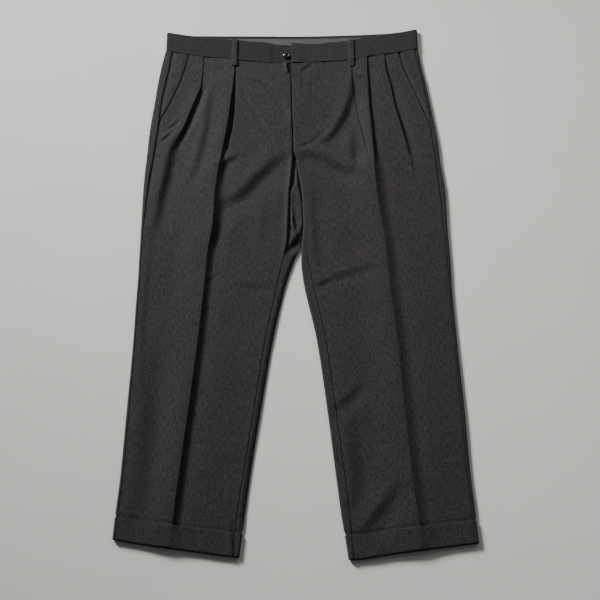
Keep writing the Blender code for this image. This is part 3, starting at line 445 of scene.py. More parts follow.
class Half:
    """One half of the trousers: its seam lines and the height of its upper cloth."""

    def __init__(self, name, sign, rows, folds):
        self.name = name
        self.sign = sign
        self.side_drop, self.inseam_drop = SEAM_DROPS[name]
        self.folds = [(fold, smooth_route(fold.route, 4 * len(fold.route))) for fold in folds]
        for column in Station._fields[1:]:
            setattr(self, column, curve([(row.y, getattr(row, column)) for row in rows]))

    def web(self, y):
        """1 where the right inner thigh lies low and runs across to the left leg, 0 elsewhere."""
        if self.sign > 0:
            return np.zeros(np.shape(y))
        return smooth((y - WEB_FOOT) / WEB_EASE) * smooth((CROTCH - y) / WEB_END)

    def below(self, y):
        """1 on the leg, 0 above the crotch."""
        return smooth((CROTCH - y) / CROTCH_EASE)

    def seam_in(self, y):
        """Inner edge of the front panel: the fly above the crotch, and clear of the inner fold below it."""
        seam = self.inseam(y)
        if self.sign > 0:
            return seam + self.below(y) * (np.maximum(seam, self.inner(y) + INSEAM_CLEAR) - seam)
        return seam

    def front_edge(self, y):
        """Outer edge of the front panel: the pocket mouth, and the side seam below it."""
        return (np.minimum if self.sign > 0 else np.maximum)(self.edge(y), self.side(y))

    def fold_in(self, y):
        """The inner fold: the right one keeps clear of the left leg's, and is that line above the crotch."""
        if self.sign > 0:
            return self.inner(y)
        return np.where(y < CROTCH, np.minimum(self.inner(y), left.inner(y) - LEG_CLEAR), left.inner(y))

    def place(self, line, level):
        """Where a line crosses a level, once the level has bent to the waist seam or the hem."""
        y = level
        for _ in range(PLACE_ROUNDS):
            x = line(y)
            y = self.bend(x, level)
        return x, y

    def bend(self, x, level, under=0.0):
        """The y of a level at x; under is 0 on the upper cloth and 1 on the floor."""
        waist = (1.0 - under) * front_seam(x) + under * back_seam(x) - GAP
        up = smooth((level - WAIST_EASE) / (WAIST_LEVEL - WAIST_EASE))
        down = smooth((HEM_EASE - level) / (HEM_EASE - HEM_LEVEL))
        return level + up * (waist - WAIST_LEVEL) + down * (hem(x) - HEM_LEVEL)

    def top(self, x, y):
        """Height of the upper cloth at (x, y), rounded down at the side and inner folds."""
        s = self.sign
        x = np.asarray(x, float)
        y = np.asarray(y, float)
        leg = self.below(y)
        web = self.web(y)
        beside = leg * (1.0 - web)
        outer, inner, from_fly = x - self.outer(y), x - self.fold_in(y), x - self.seam_in(y)
        fall, width = EDGE_FALL[self.name]
        if s < 0:
            edges = EDGE_LIFT * soft(outer / EDGE_WIDTH) - fall * cusp(inner / width) * beside
        else:
            edges = EDGE_LIFT * soft(inner / EDGE_WIDTH) * beside - fall * cusp(outer / width)
        z = self.flat(y) + edges + self.pleats(x, y) + ripple(x, y)
        for fold, route in self.folds:
            z = z + fold_height(fold, route, x, y)
        low_side = SIDE_LOW + (1.0 - SIDE_LOW) * smooth((y - SIDE_FROM) / SIDE_OVER)
        z = z + seam_step(x - self.side(y), self.side_drop, SIDE_WIDTH) * low_side
        low_inseam = 1.0 - smooth((y - INSEAM_FROM) / INSEAM_OVER)
        z = z + seam_step(from_fly, self.inseam_drop, INSEAM_WIDTH) * beside * low_inseam
        if s > 0:
            z = z + FLY_LIFT * (1.0 - smooth(from_fly / FLY_WIDTH)) * smooth((y - CROTCH + 12.0) / 24.0)
        else:
            z = z + UNDER_LIFT * (1.0 - smooth(-from_fly / UNDER_WIDTH)) * (1.0 - leg)
            z = z - FLY_DROP * smooth((from_fly + FLY_GROOVE) / (FLY_GROOVE + 0.4)) * (1.0 - leg)
            z = z - 0.6 * np.clip(from_fly / UNDERLAP, 0.0, 1.2)
            z = z + WEB_LIFT * web * soft(from_fly / 10.0)
        z = np.maximum(z, LOWEST + CUFF_RISE * (1.0 - smooth((y - CUFF_NEAR) / CUFF_FADE)))
        z = z * rounded(outer, -s)
        return z * (1.0 - (1.0 - rounded(inner, s)) * beside)

    def valley(self, from_crease):
        """Depth of the hollow to the east of the crease, from 0 to 1."""
        shaded = CREST_SHADED[self.name]
        return smooth(from_crease / shaded) * (1.0 - smooth(from_crease / CREST_VALLEY))

    def lid(self, x, level):
        """Height of the upper cloth on a level, with the groove above the cuff."""
        return self.top(x, self.bend(x, level)) - above_cuff(level)

    def pleats(self, x, y):
        """The pressed crease and the pleats, whose edges rise gently from the west and drop to the east."""
        s = self.sign
        pleated = smooth((y - PLEAT_FOOT) / 40.0)
        from_crease, from_mouth, from_pleat = x - self.crease(y), x - self.mouth(y), x - self.pleat(y)
        gape1, gape2 = self.gape1(y), self.gape2(y)
        strip = np.maximum(self.crease(y) - self.mouth(y), LIT_LEAST) if s > 0 else CREST_LIT
        lit = CREST_LIT + (strip - CREST_LIT) * pleated
        shaded = CREST_SHADED[self.name]
        z = ridge(from_crease, self.crest(y), lit, shaded + (WALL - shaded) * pleated)
        z = z - VALLEY_SHARE * self.crest(y) * self.valley(from_crease) * (1.0 - pleated)
        if s < 0:
            opening = self.mouth(y) - self.crease(y)
            z = z - gape1 * hollow(from_crease, opening - 0.3, 0.4)
            z = z + ridge(from_pleat, 0.4 * gape2, 26.0, WALL) - gape2 * hollow(from_pleat, 6.0, 17.0)
        else:
            z = z - gape1 * hollow(from_crease, 1.5, 26.0)
            z = z + ridge(from_pleat, 0.5 * gape2, 30.0, WALL) - gape2 * hollow(from_pleat, 1.5, 22.0)
            z = z + self.nick(y) * (ridge(from_mouth, 0.5, 16.0, WALL) - 0.5 * hollow(from_mouth, 1.0, 9.0))
        return z

    def filled(self, x, y):
        """How much higher the stiff cuff stands than the leg in the hollow to the east of the crease."""
        crest, from_crease = self.crest(y), x - self.crease(y)
        narrow = ridge(from_crease, crest, CREST_LIT, CREST_SHADED[self.name])
        wider = ridge(from_crease, crest, CREST_LIT, CREST_CUFF) - narrow
        return CUFF_FILLED * (wider + VALLEY_SHARE * crest * self.valley(from_crease))

    def web_top(self, x, y):
        """Height of the cloth that runs across the fork to the left leg."""
        z = web_rise(y) + np.zeros(np.broadcast(x, y).shape)
        for fold in FOLDS_WEB:
            z = z + fold_height(fold, fold.route, x, y)
        return np.maximum(z, WEB_LOWEST) * rounded(x - self.fold_in(y), -1.0, WEB_ROLL)


def ripple(x, y):
    """Faint unevenness of cloth that has been worn and pressed."""
    return (0.14 * np.sin(x / 8.1 + 1.3 * np.sin(y / 31.0)) * np.sin(y / 19.3 + 0.7)
            + 0.25 * np.sin(x / 17.0 - y / 43.0 + 1.9) * np.sin(y / 47.0 + x / 37.0))


def fold_height(fold, route, x, y):
    """Height that a soft fold adds at (x, y), faded out at both ends of its route."""
    far, along, side = nearest(route, x, y)
    far = np.where(side > 0, far, -far)
    reach = np.where(side > 0, fold.east, fold.west) + fold.steep / 2
    step = RISE_SHARE - smooth(far / fold.steep + 0.5)
    ends = np.sin(pi * np.clip(along, 0.0, 1.0)) ** 0.6
    return fold.drop * step * (1.0 - smooth(np.abs(far) / reach)) * ends


def ridge(distance, height, lit, shaded):
    """An edge that rises gently from the west over lit and drops to the east within shaded."""
    east = np.clip(1.0 - distance / shaded, 0, 1) ** 1.6
    return height * np.where(distance < 0, 1.0 - smooth(-distance / lit), east)


def hollow(distance, floor, recover):
    """A hollow of depth 1 to the east of an edge, level over floor and filled again over recover."""
    return smooth(distance / WALL) * (1.0 - smooth((distance - floor) / recover))


def rounded(distance, way, radius=ROLL):
    """Share of the height that is left beside a fold: half at the fold, all of it a radius further in."""
    return 0.5 + 0.5 * quarter(way * distance / radius)


def seam_step(distance, dip, steep):
    """The step down to the east at a seam."""
    return dip * (0.5 - smooth(distance / steep + 0.5)) * (1.0 - smooth(np.abs(distance) / SEAM_REACH))


left = Half("left", 1, LEFT, FOLDS_LEFT)
right = Half("right", -1, RIGHT, FOLDS_RIGHT)


def spread(stops, counts):
    """Columns from stop to stop, each stretch in equal steps; stops may be numbers or arrays of rows."""
    columns = [stops[0]]
    for a, b, n in zip(stops, stops[1:], counts):
        columns += [a + (b - a) * k / n for k in range(1, n + 1)]
    return columns


def edged(start, stops, end, counts, way, reach):
    """Columns from one edge over the stops to the other, close together within both turned edges."""
    out = [start + way * TURN * n for n in NEAR]
    out += spread([start + way * TURN, *stops, end - way * reach], counts)
    out += [end - way * reach * n for n in reversed(NEAR)]
    return np.stack(np.broadcast_arrays(*out), axis=-1)


def turned(distance, radius=TURN):
    """How far a turned edge drops at a distance from it."""
    return radius * (1.0 - quarter(distance / radius))


def panel_levels(low, high, step):
    """Rows from low to high, close together within a turned edge at the top."""
    rows = np.linspace(low, high - TURN, int((high - low) / step) + 1)
    return np.concatenate([rows, [high - TURN * n for n in reversed(NEAR)]])


def only(*pieces):
    """Select these pieces and nothing else, with the first of them active."""
    if bpy.context.object and bpy.context.object.mode != "OBJECT":
        bpy.ops.object.mode_set(mode="OBJECT")
    bpy.ops.object.select_all(action="DESELECT")
    for piece in pieces:
        piece.select_set(True)
    if pieces:
        bpy.context.view_layer.objects.active = pieces[0]


@contextmanager
def editing():
    """Edit mode for the length of a with block."""
    bpy.ops.object.mode_set(mode="EDIT")
    yield
    bpy.ops.object.mode_set(mode="OBJECT")


def named(name):
    """The piece just made, under its name."""
    piece = bpy.context.object
    piece.name = piece.data.name = name
    return piece


def apply_modifier(piece, kind, **settings):
    """Add a modifier and apply it."""
    modifier = piece.modifiers.new(kind.lower(), kind)
    for key, value in settings.items():
        setattr(modifier, key, value)
    only(piece)
    bpy.ops.object.modifier_apply(modifier=modifier.name)


def smooth_faces(piece, degrees=50.0):
    only(piece)
    bpy.ops.object.shade_smooth_by_angle(angle=radians(degrees))


def select_faces(mesh, chosen):
    """Select the faces that are marked as chosen, and nothing else."""
    bpy.context.tool_settings.mesh_select_mode = (False, False, True)
    for parts in (mesh.vertices, mesh.edges):
        parts.foreach_set("select", np.zeros(len(parts), bool))
    mesh.polygons.foreach_set("select", chosen)


def lengths(rows, axis):
    """Length along the cloth from its first column or row to each point."""
    step = np.linalg.norm(np.diff(rows, axis=axis), axis=2)
    return np.concatenate([np.zeros_like(np.take(step, [0], axis)), np.cumsum(step, axis=axis)], axis=axis)


def cloth(name, rows, thickness, material, middle=0, ring=False, gone=None, flip=False):
    """A cloth shell through rows of points, thickened inwards.

    Its UV map is in metres along the cloth, from the column middle. A ring closes on itself, and the faces of
    gone are left out.
    """
    rows = np.asarray(rows, float)
    count_y, count_x = rows.shape[:2]
    across = lengths(rows, 1)
    across = across - across[:, middle:middle + 1]
    along = lengths(rows, 0) + rows[:1, middle:middle + 1, 1]
    only()
    bpy.ops.mesh.primitive_grid_add(x_subdivisions=count_x - 1, y_subdivisions=count_y - 1, size=1.0)
    piece = named(name)
    mesh = piece.data
    mesh.vertices.foreach_set("co", (rows * MM).ravel())
    corner = np.empty(len(mesh.loops), int)
    mesh.loops.foreach_get("vertex_index", corner)
    where = np.stack([across.ravel()[corner], along.ravel()[corner]], axis=1) * MM
    mesh.uv_layers.active.data.foreach_set("uv", where.ravel())
    mesh.update()
    if gone is not None:
        select_faces(mesh, gone.ravel())
        with editing():
            bpy.ops.mesh.delete(type="FACE")
    if ring or flip:
        with editing():
            bpy.ops.mesh.select_all(action="SELECT")
            if ring:
                bpy.ops.mesh.remove_doubles(threshold=0.01 * MM)
            if flip:
                bpy.ops.mesh.flip_normals()
    apply_modifier(piece, "SOLIDIFY", thickness=thickness, offset=-1.0, use_rim=True)
    smooth_faces(piece)
    mesh.materials.append(material)
    return piece


def front_rows(half):
    """Rows of a front panel, with turned edges at its seams, at the pocket mouth and at the fly."""
    s = half.sign
    level = panel_levels(PANEL_FOOT, WAIST_LEVEL, ROW_STEP)

    def at(name):
        return half.place(getattr(half, name), level)[0]

    pleat, mouth, crease = at("pleat"), at("mouth"), at("crease")
    x_in, y_in = half.place(half.seam_in, level)
    leg = half.below(y_in)
    start = at("front_edge") - s * GAP / 2
    end = x_in + s * GAP / 2 * leg
    reach = TURN + 1.6 * half.web(y_in)
    if s < 0:
        over = smooth((y_in - FLY_FOOT) / 6.0)
        end = end + UNDERLAP * over - GAP * (1.0 - over) * (1.0 - leg)
        near = x_in - 3.4
        inner = near + (end - reach - near) * (0.6 - 0.45 * over)
        stops = [pleat, pleat + WALL, pleat + 7.0, crease - 0.8, crease, crease + WALL, mouth - 0.3, mouth,
                 near, inner]
        counts = (19, 1, 4, 26, 1, 1, 4, 1, 44, 7, 6)
    else:
        stops = [pleat + 6.0, pleat + WALL, pleat, crease + 7.0, crease + WALL, crease, crease - 0.8,
                 mouth + WALL, mouth, mouth - 0.8]
        counts = (18, 3, 1, 16, 4, 1, 1, 9, 1, 1, 50)
    x = edged(start, stops, end, counts, -s, reach)
    y = half.bend(x, level[:, None])
    z = half.lid(x, level[:, None]) - turned(np.abs(x - start[:, None]))
    z = z - turned(front_seam(x) - GAP - y, WAIST_TURN)
    hidden = 1.0 - smooth((y_in - 45.0) / 15.0) * leg if s > 0 else np.ones(len(level))
    z = z - turned(np.abs(x - end[:, None]), reach[:, None]) * hidden[:, None]
    x[:, len(NEAR) + sum(counts[:2])] -= TUCK * np.clip(half.gape2(level) / 2.0, 0.0, 1.0)
    behind_crease = len(NEAR) + sum(counts[:6 if s < 0 else 5])
    tuck = (WALL + TUCK) * np.clip(half.gape1(level) / 1.5, 0.0, 1.0)
    x[:, behind_crease] -= tuck * smooth((level - 215.0) / 30.0)
    return np.stack([x, y, z], axis=-1)


def roll(count=6):
    """Distances from a fold at which the columns round it stand, from its turn to its edge, as shares."""
    return [1.0 - sin(k * pi / 2 / count) for k in range(count + 1)]


def in_cuff(level):
    """1 inside the turned-up cuff, 0 above it."""
    top = HEM_LEVEL + CUFF_HEIGHT
    return 1.0 - smooth((level - top - 1.0) / 7.0)


def above_cuff(level):
    """Depth of the groove in the leg just above the cuff's upper edge."""
    above = level - HEM_LEVEL - CUFF_HEIGHT
    return CUFF_GROOVE * smooth((above + 1.0) / 1.5) * (1.0 - smooth(above / 5.5))


def back_rows(half):
    """Rows of a back panel, and which faces to leave out above the fork.

    A row runs from the side seam round the outer fold, over the floor and round the inner fold to the inseam.
    """
    s = half.sign
    level = panel_levels(PANEL_FOOT, WAIST_LEVEL, BACK_ROW_STEP)
    cuffed = in_cuff(level)
    floor = cuffed * CUFF_RISE
    x_side = half.place(half.side, level)[0] + s * GAP / 2
    x_out = half.place(half.outer, level)[0] - s * cuffed * CUFF_RISE
    x_in, y_in = half.place(half.fold_in, level)
    web = half.web(y_in)
    split = level > FORK
    x_in = x_in + s * cuffed * CUFF_RISE
    section = []

    def add(x, z, under):
        section.append((x, half.bend(x, level, under), z))

    def upper(x):
        return (1.0 - web) * half.lid(x, level) + web * half.web_top(x, half.bend(x, level))

    for share in NEAR:
        x = x_side + s * TURN * share
        add(x, half.lid(x, level) - turned(np.abs(x - x_side)), 0.0)
    gap = np.minimum(ROLL, np.abs(x_out - x_side) * 0.6)
    for x in spread([x_side + s * TURN, x_out - s * gap], (3,))[:-1]:
        add(x, half.lid(x, level), 0.0)
    for share in roll():
        x = x_out - s * gap * share
        add(x, half.lid(x, level), 0.5 - 0.5 * share)
    middle = section[-1][2]
    for share in roll()[-2::-1]:
        add(x_out - s * ROLL * share, floor + (middle - floor) * (1.0 - quarter(share)), 0.5 + 0.5 * share)
    radius = ROLL + web * (WEB_ROLL - ROLL)
    turn = np.where(split, x_in + s * GAP / 2, x_in + s * radius)
    start = x_out - s * ROLL
    x_crease = half.crease(level)
    for x in spread([start, x_crease, turn], (18, 26))[1:]:
        add(x, floor + underside(half, x, level, x_crease, start, turn), 1.0)
    last = len(section) - 1
    x_end = half.place(half.seam_in, level)[0] - s * GAP / 2
    x_end = x_end + s * 6.0 * smooth(2.0 * web - 1.0)
    reach = np.minimum(radius, np.abs(x_end - x_in))
    low = upper(x_in)
    for share in roll()[1:]:
        up = floor + (low - floor) * (1.0 - quarter(share))
        add(x_in + s * radius * share, up, 1.0 - 0.5 * (1.0 - share))
    for share in roll()[-2::-1]:
        x = x_in + s * reach * share
        add(x, upper(x), 0.5 * (1.0 - share))
    stop = x_end - s * np.minimum(TURN, np.abs(x_end - x_in - s * reach))
    for x in spread([x_in + s * reach, stop], (12,))[1:]:
        add(x, upper(x), 0.0)
    for share in reversed(NEAR):
        x = x_end - s * np.abs(x_end - stop) * share
        fall = turned(np.abs(x - x_end)) * (1.0 - web) * np.abs(x_end - stop) / TURN
        add(x, upper(x) - fall * (1.0 - half.below(y_in) * (s > 0) * smooth((y_in - 45.0) / 15.0)), 0.0)
    rows = np.stack([np.stack(np.broadcast_arrays(*point), axis=-1) for point in section], axis=1)
    gone = np.zeros((rows.shape[0] - 1, rows.shape[1] - 1), bool)
    gone[int(np.argmax(split)) - 1:, last:] = True
    return rows, gone


def underside(half, x, y, x_crease, start, end):
    """Height of the underside over the floor: nearly flat, with a pressed crease and two soft hollows."""
    inside = smooth(np.abs(x - start) / 20.0) * smooth(np.abs(x - end) / 20.0) * (1.0 - half.web(y))
    beside = np.abs(x - x_crease)
    crease = 0.5 * smooth(beside / 5.0) * soft(beside / 16.0)
    dent = 0.9 * soft((y - 60.0 - 0.3 * x) / 26.0) * soft((x - x_crease + half.sign * 30.0) / 60.0)
    return inside * (crease + dent)


def facing_rows(half):
    """The cloth seen in the slanted pocket mouth, from the side seam to just under the front panel."""
    s = half.sign
    level = panel_levels(POCKET_FOOT - 4.0, WAIST_LEVEL, ROW_STEP)
    start = half.place(half.side, level)[0] - s * GAP / 2
    edge = half.place(half.front_edge, level)[0]
    columns = [start - s * TURN * n for n in NEAR]
    lip = edge + s * np.minimum(3.4, np.abs(start - edge) * 0.4)
    columns += spread([start - s * TURN, lip, edge - s * 0.6, edge - s * FACING_DEPTH], (10, 8, 5))
    x = np.stack(columns, axis=-1)
    y = half.bend(x, level[:, None])
    drop, groove = FACING_FALL[half.name]
    z = half.top(x, y) + FACING_LIFT - drop * smooth((groove - s * (x - edge[:, None])) / (groove + 0.4))
    if s < 0:
        z = z - (1.0 - smooth((edge[:, None] - x) / 7.0))
    z = z - turned(np.abs(x - start[:, None])) - turned(front_seam(x) - GAP - y)
    z = np.maximum(z, FACING_LOWEST)
    return np.stack([x, y, z], axis=-1)


def band_height(half, x):
    """Height of the front waistband: the left end laps over the tab of the right one."""
    x = np.asarray(x, float)
    if half.sign > 0:
        return BAND_TOP + (LAP_TOP - BAND_TOP) * (1.0 - smooth((x - LAP_START) / LAP_WIDTH))
    return np.interp(x, [STEP - 2.0, STEP, TAB_END], [BAND_TOP, TAB_TOP, TAB_TOP - 0.1])


def folded_over(height, radius, tuck, turned_start=False):
    """Rows across a folded strip, as (distance from its lower edge, depth under its outer face)."""
    rows = []
    if turned_start:
        rows += [(TURN * n, float(turned(TURN * n, WAIST_TURN))) for n in NEAR] + [(TURN, 0.0)]
    else:
        rows += [(tuck, 2.0 * radius)]
        rows += [(radius * (1.0 - sin(a)), radius * (1.0 + cos(a))) for a in np.linspace(0.0, pi, 9)]
    low = rows[-1][0]
    high = height - radius
    rows += [(t, 0.0) for t in np.linspace(low, high, int((high - low) / 3.0) + 2)[1:-1]]
    rows += [(height - radius * (1.0 - sin(a)), radius * (1.0 - cos(a))) for a in np.linspace(0.0, pi, 9)]
    return rows + [(height - tuck, 2.0 * radius)]


def strip(path, rows, place):
    """Points of a folded strip: path gives (x, z, under, normal x, normal z), rows the folded_over rows."""
    points = []
    for t, depth in rows:
        row = []
        for x, z, under, normal_x, normal_z in path:
            px = x - normal_x * depth
            row.append((px, place(px, t, under), z - normal_z * depth))
        points.append(row)
    return np.array(points)


def round_fold(x_edge, side, low, high, radius, steps=10):
    """Path points over a fold, from its top to its bottom."""
    out = []
    for a in np.linspace(pi / 2, -pi / 2, steps + 1):
        out.append((x_edge - side * radius * (1.0 - cos(a)), (low + high) / 2 + (high - low) / 2 * sin(a),
                    0.5 - 0.5 * sin(a), side * cos(a), sin(a)))
    return out


def waistband_rows(half):
    """Half of the waistband, from its front end round the side fold to the centre back seam on the floor."""
    s = half.sign
    top_edge = front_top_left if s > 0 else front_top_right
    end = BAND_END if s > 0 else TAB_END
    x_out = float(half.outer(500.0))
    turn = x_out - s * BAND_TOP / 2
    stops = [60.0, turn] if s > 0 else [BAND_END, STEP, STEP - 2.0, turn]
    counts = (22, 56) if s > 0 else (8, 12, 2, 66)
    xs = [end + s * TURN * n for n in NEAR] + spread([end + s * TURN, *stops], counts)
    path = []
    for x in xs[:-1]:
        path.append((x, float(band_height(half, x)) - float(turned(abs(x - end))), 0.0, 0.0, 1.0))
    path += round_fold(x_out, s, 0.0, BAND_TOP, BAND_TOP / 2)
    centre = float(half.inner(470.0)) + s * GAP / 2
    path += [(x, 0.0, 1.0, 0.0, -1.0) for x in spread([turn, centre], (40,))[1:]]

    def place(x, t, under):
        low = (1.0 - under) * front_seam(x) + under * back_seam(x) + GAP / 2
        high = (1.0 - under) * top_edge(x) + under * back_top(x)
        return low + (high - low) * t / BAND_HEIGHT

    return strip(path, folded_over(BAND_HEIGHT, *BAND_FOLD, turned_start=True), place)


def cuff_rows(half):
    """The turn-up: a flat ring round the end of the leg, folded in at both edges."""
    s = half.sign
    rows = folded_over(CUFF_HEIGHT, *CUFF_FOLD)
    seam_depth, seam_width = CUFF_SEAM
    points = []
    for k, (t, depth) in enumerate(rows):
        level = HEM_LEVEL + t
        x_out, y_out = half.place(half.outer, level)
        x_in, y_in = half.place(half.inner, level)
        crease = float(half.place(half.crease, level)[0])
        seams = [float(half.place(half.side, level)[0]), float(half.place(half.seam_in, level)[0])]
        radius = ROLL + 0.4
        out_turn, in_turn = float(x_out) - s * radius, float(x_in) + s * radius
        top_out = float(half.top(out_turn, y_out)) + CUFF_RISE
        top_in = float(half.top(in_turn, y_in)) + CUFF_RISE
        ring = []
        stops = [out_turn, seams[0] - s * 1.6, crease + s * 9.0, crease, crease - s * 9.0, seams[1] + s * 1.6,
                 in_turn]
        for x in spread(stops, (8, 24, 6, 6, 24, 8))[1:-1]:
            y = float(half.bend(x, level))
            groove = seam_depth * sum(float(soft((x - seam) / seam_width)) for seam in seams)
            ring.append((x, float(half.top(x, y) + half.filled(x, y)) + CUFF_RISE - groove, 0.0, 0.0, 1.0))
        ring += round_fold(float(x_in), -s, 0.0, top_in, radius)
        ring += [(x, 0.0, 0.0, 0.0, -1.0) for x in spread([in_turn, out_turn], (34,))[1:-1]]
        ring += round_fold(float(x_out), s, 0.0, top_out, radius)[::-1]
        ring.append(ring[0])
        row = []
        for x, z, _, nx, nz in ring:
            swell = 1.0 + (HEM_SWELL - 1.0) * max(nz, 0.0) * (k < HEM_FOLD_ROWS)
            y = float(half.bend(x, level)) + (swell - 1.0) * t * (k > 0)
            row.append((x - nx * depth * swell, y, z - nz * depth * swell))
        points.append(row)
    return np.array(points)


def lining_rows():
    """The lining inside the back waistband, which shows above the front."""
    rows = []
    for down in LINING_ROWS:
        xs = np.linspace(*LINING_ENDS, 90)
        z = LINING_HEIGHT - float(turned(down - LINING_DOWN, 0.7)) + 0.12 * np.sin(xs / 7.0)
        rows.append(np.stack([xs, back_top(xs) - down, z], axis=-1))
    return np.array(rows)


def loop_rows(half):
    """A belt loop: a folded strip that stands a little off the waistband between its two sewn ends."""
    top_edge = front_top_left if half.sign > 0 else front_top_right
    middle = LOOP_AT[half.name]
    seam = float(front_seam(middle))
    high = float(top_edge(middle))
    low = seam - LOOP_BELOW
    under = float(band_height(half, middle))
    front = float(half.top(middle, seam - LOOP_BELOW / 2))
    stand = LOOP_STAND[half.name]
    path = smooth_route([
        (high - 5.0, under - 2.6), (high - 0.6, under - 2.4), (high + 0.9, under - 1.2),
        (high + 1.1, under + 0.2), (high + 0.3, under + 1.0), (high - 2.0, under + 1.4),
        (high - 8.0, under + stand),
        ((high + seam) / 2, under + stand + 0.2), (seam + 6.0, under + stand), (seam, under + 1.4),
        (low + 6.0, front + 1.9), (low + 2.4, front + 1.6), (low + 0.9, front + 1.2), (low, front + 0.4),
        (low + 0.2, front + 0.1)], 60)
    edge = [(-5.0, -1.3), (-5.0, -0.7), (-4.8, -0.3), (-4.3, -0.05), (-3.0, 0.0), (-1.0, -0.06)]
    shape = edge + [(-x, d) for x, d in reversed(edge)]
    rows = []
    for k, (y, z) in enumerate(path):
        a, b = path[max(k - 1, 0)], path[min(k + 1, len(path) - 1)]
        along = (b - a) / max(float(np.hypot(*(b - a))), 1e-6)
        out = np.array([along[1], -along[0]])
        rows.append([(middle + x * LOOP_WIDTH / 10.0, y + out[0] * d, z + out[1] * d) for x, d in shape])
    return np.array(rows)


def cylinder(vertices, radius, depth, at=(0.0, 0.0, 0.0), rotation=(0.0, 0.0, 0.0)):
    """Add a cylinder."""
    only()
    bpy.ops.mesh.primitive_cylinder_add(vertices=vertices, radius=radius * MM, depth=depth * MM,
                                        location=[c * MM for c in at], rotation=rotation)


def capsule(name, length, width, height, material):
    """One thread stitch lying along X: a rounded bar."""
    cylinder(8, width / 2, length, rotation=(0, pi / 2, 0))
    piece = named(name)
    bpy.ops.object.transform_apply(location=True, rotation=True, scale=True)
    with editing():
        bpy.ops.mesh.select_all(action="SELECT")
        bpy.ops.mesh.bevel(offset=width * 0.35 * MM, segments=2, affect="EDGES", clamp_overlap=True)
    piece.data.transform(Matrix.Diagonal((1.0, 1.0, height / width, 1.0)))
    piece.data.materials.append(material)
    return piece


def stitch_line(model, x, y, half, pitch):
    """Copies of a stitch set out along a line on a half's upper cloth, each turned along it."""
    points = np.stack([x, y, half.top(x, y) + STITCH_LIFT], axis=-1)
    leg = np.linalg.norm(np.diff(points, axis=0), axis=1)
    start = np.concatenate([[0.0], np.cumsum(leg)])

    def at(d):
        return np.array([np.interp(min(d, start[-1]), start, points[:, k]) for k in range(3)])

    made = []
    for d in np.arange(pitch / 2, start[-1], pitch):
        turn = Vector((1.0, 0.0, 0.0)).rotation_difference(Vector(at(d + 0.5) - at(d))).to_matrix().to_4x4()
        made.append(copy_to(model, Matrix.Translation(Vector(at(d) * MM)) @ turn))
    return made


def copy_to(model, matrix):
    piece = model.copy()
    piece.data = model.data.copy()
    piece.data.transform(matrix)
    bpy.context.scene.collection.objects.link(piece)
    return piece


def joined(name, pieces):
    """One piece made of several."""
    only(*pieces)
    bpy.ops.object.join()
    piece = named(name)
    smooth_faces(piece, 40.0)
    return piece


def linear(code):
    """A linear colour from an sRGB hex value."""
    values = [int(code[i:i + 2], 16) / 255.0 for i in (1, 3, 5)]
    return tuple(v / 12.92 if v <= 0.04045 else ((v + 0.055) / 1.055) ** 2.4 for v in values)


def node(tree, kind, settings=None, inputs=None):
    """Add a node with its settings, its values and its links."""
    new = tree.nodes.new("ShaderNode" + kind)
    for key, value in (settings or {}).items():
        setattr(new, key, value)
    for key, value in (inputs or {}).items():
        if hasattr(value, "links"):
            tree.links.new(value, new.inputs[key])
        else:
            new.inputs[key].default_value = value
    return new


def new_material(name, coordinates):
    """An empty material, its node tree and the coordinates that its textures use."""
    material = bpy.data.materials.new(name)
    material.use_nodes = True
    material.node_tree.nodes.clear()
    return material, material.node_tree, node(material.node_tree, "TexCoord").outputs[coordinates]


# Places of the colour inputs and the colour result of a Mix node.
MIX_A, MIX_B, MIX_RESULT = 6, 7, 2


def stretched(tree, place, scale):
    return node(tree, "Mapping", inputs={"Vector": place, "Scale": scale}).outputs["Vector"]


def noise(tree, place, scale, detail=2.0, roughness=0.5, distortion=0.0):
    return node(tree, "TexNoise", inputs={"Vector": place, "Scale": scale, "Detail": detail,
                                          "Roughness": roughness, "Distortion": distortion}).outputs["Fac"]


def bands(tree, place, pitch, root, distortion=0.0, detail=2.0, detail_scale=1.0):
    """Diagonal bands at a pitch; root is the root of the number of axes that they slant across."""
    return node(tree, "TexWave", {"wave_type": "BANDS", "bands_direction": "DIAGONAL"},
                {"Vector": place, "Scale": 2.0 * pi / (10.0 * pitch * root), "Distortion": distortion,
                 "Detail": detail, "Detail Scale": detail_scale}).outputs["Fac"]


def ranged(tree, value, low, high, least=0.0, most=1.0):
    """A value between low and high, set out from least to most."""
    return node(tree, "MapRange", {"clamp": True}, {"Value": value, "From Min": low, "From Max": high,
                                                    "To Min": least, "To Max": most}).outputs[0]


def weighed(tree, value, weight, other):
    """A value times its weight, and another value added."""
    return node(tree, "Math", {"operation": "MULTIPLY_ADD"}, {0: value, 1: weight, 2: other}).outputs[0]


def opaque(colour):
    return (*colour, 1.0)


def blend(tree, share, first, second):
    """A colour between two others."""
    mix = node(tree, "Mix", {"data_type": "RGBA"}, {0: share, MIX_A: first, MIX_B: second})
    return mix.outputs[MIX_RESULT]


def scaled(tree, colour, share):
    return node(tree, "VectorMath", {"operation": "SCALE"}, {0: colour, "Scale": share}).outputs[0]


def bump(tree, strength, distance, height):
    return node(tree, "Bump",
                inputs={"Strength": strength, "Distance": distance, "Height": height}).outputs["Normal"]


def surface(tree, inputs):
    """Close a material with a surface that isn't metal."""
    shader = node(tree, "BsdfPrincipled", inputs={"Metallic": 0.0, **inputs})
    node(tree, "OutputMaterial", inputs={"Surface": shader.outputs["BSDF"]})


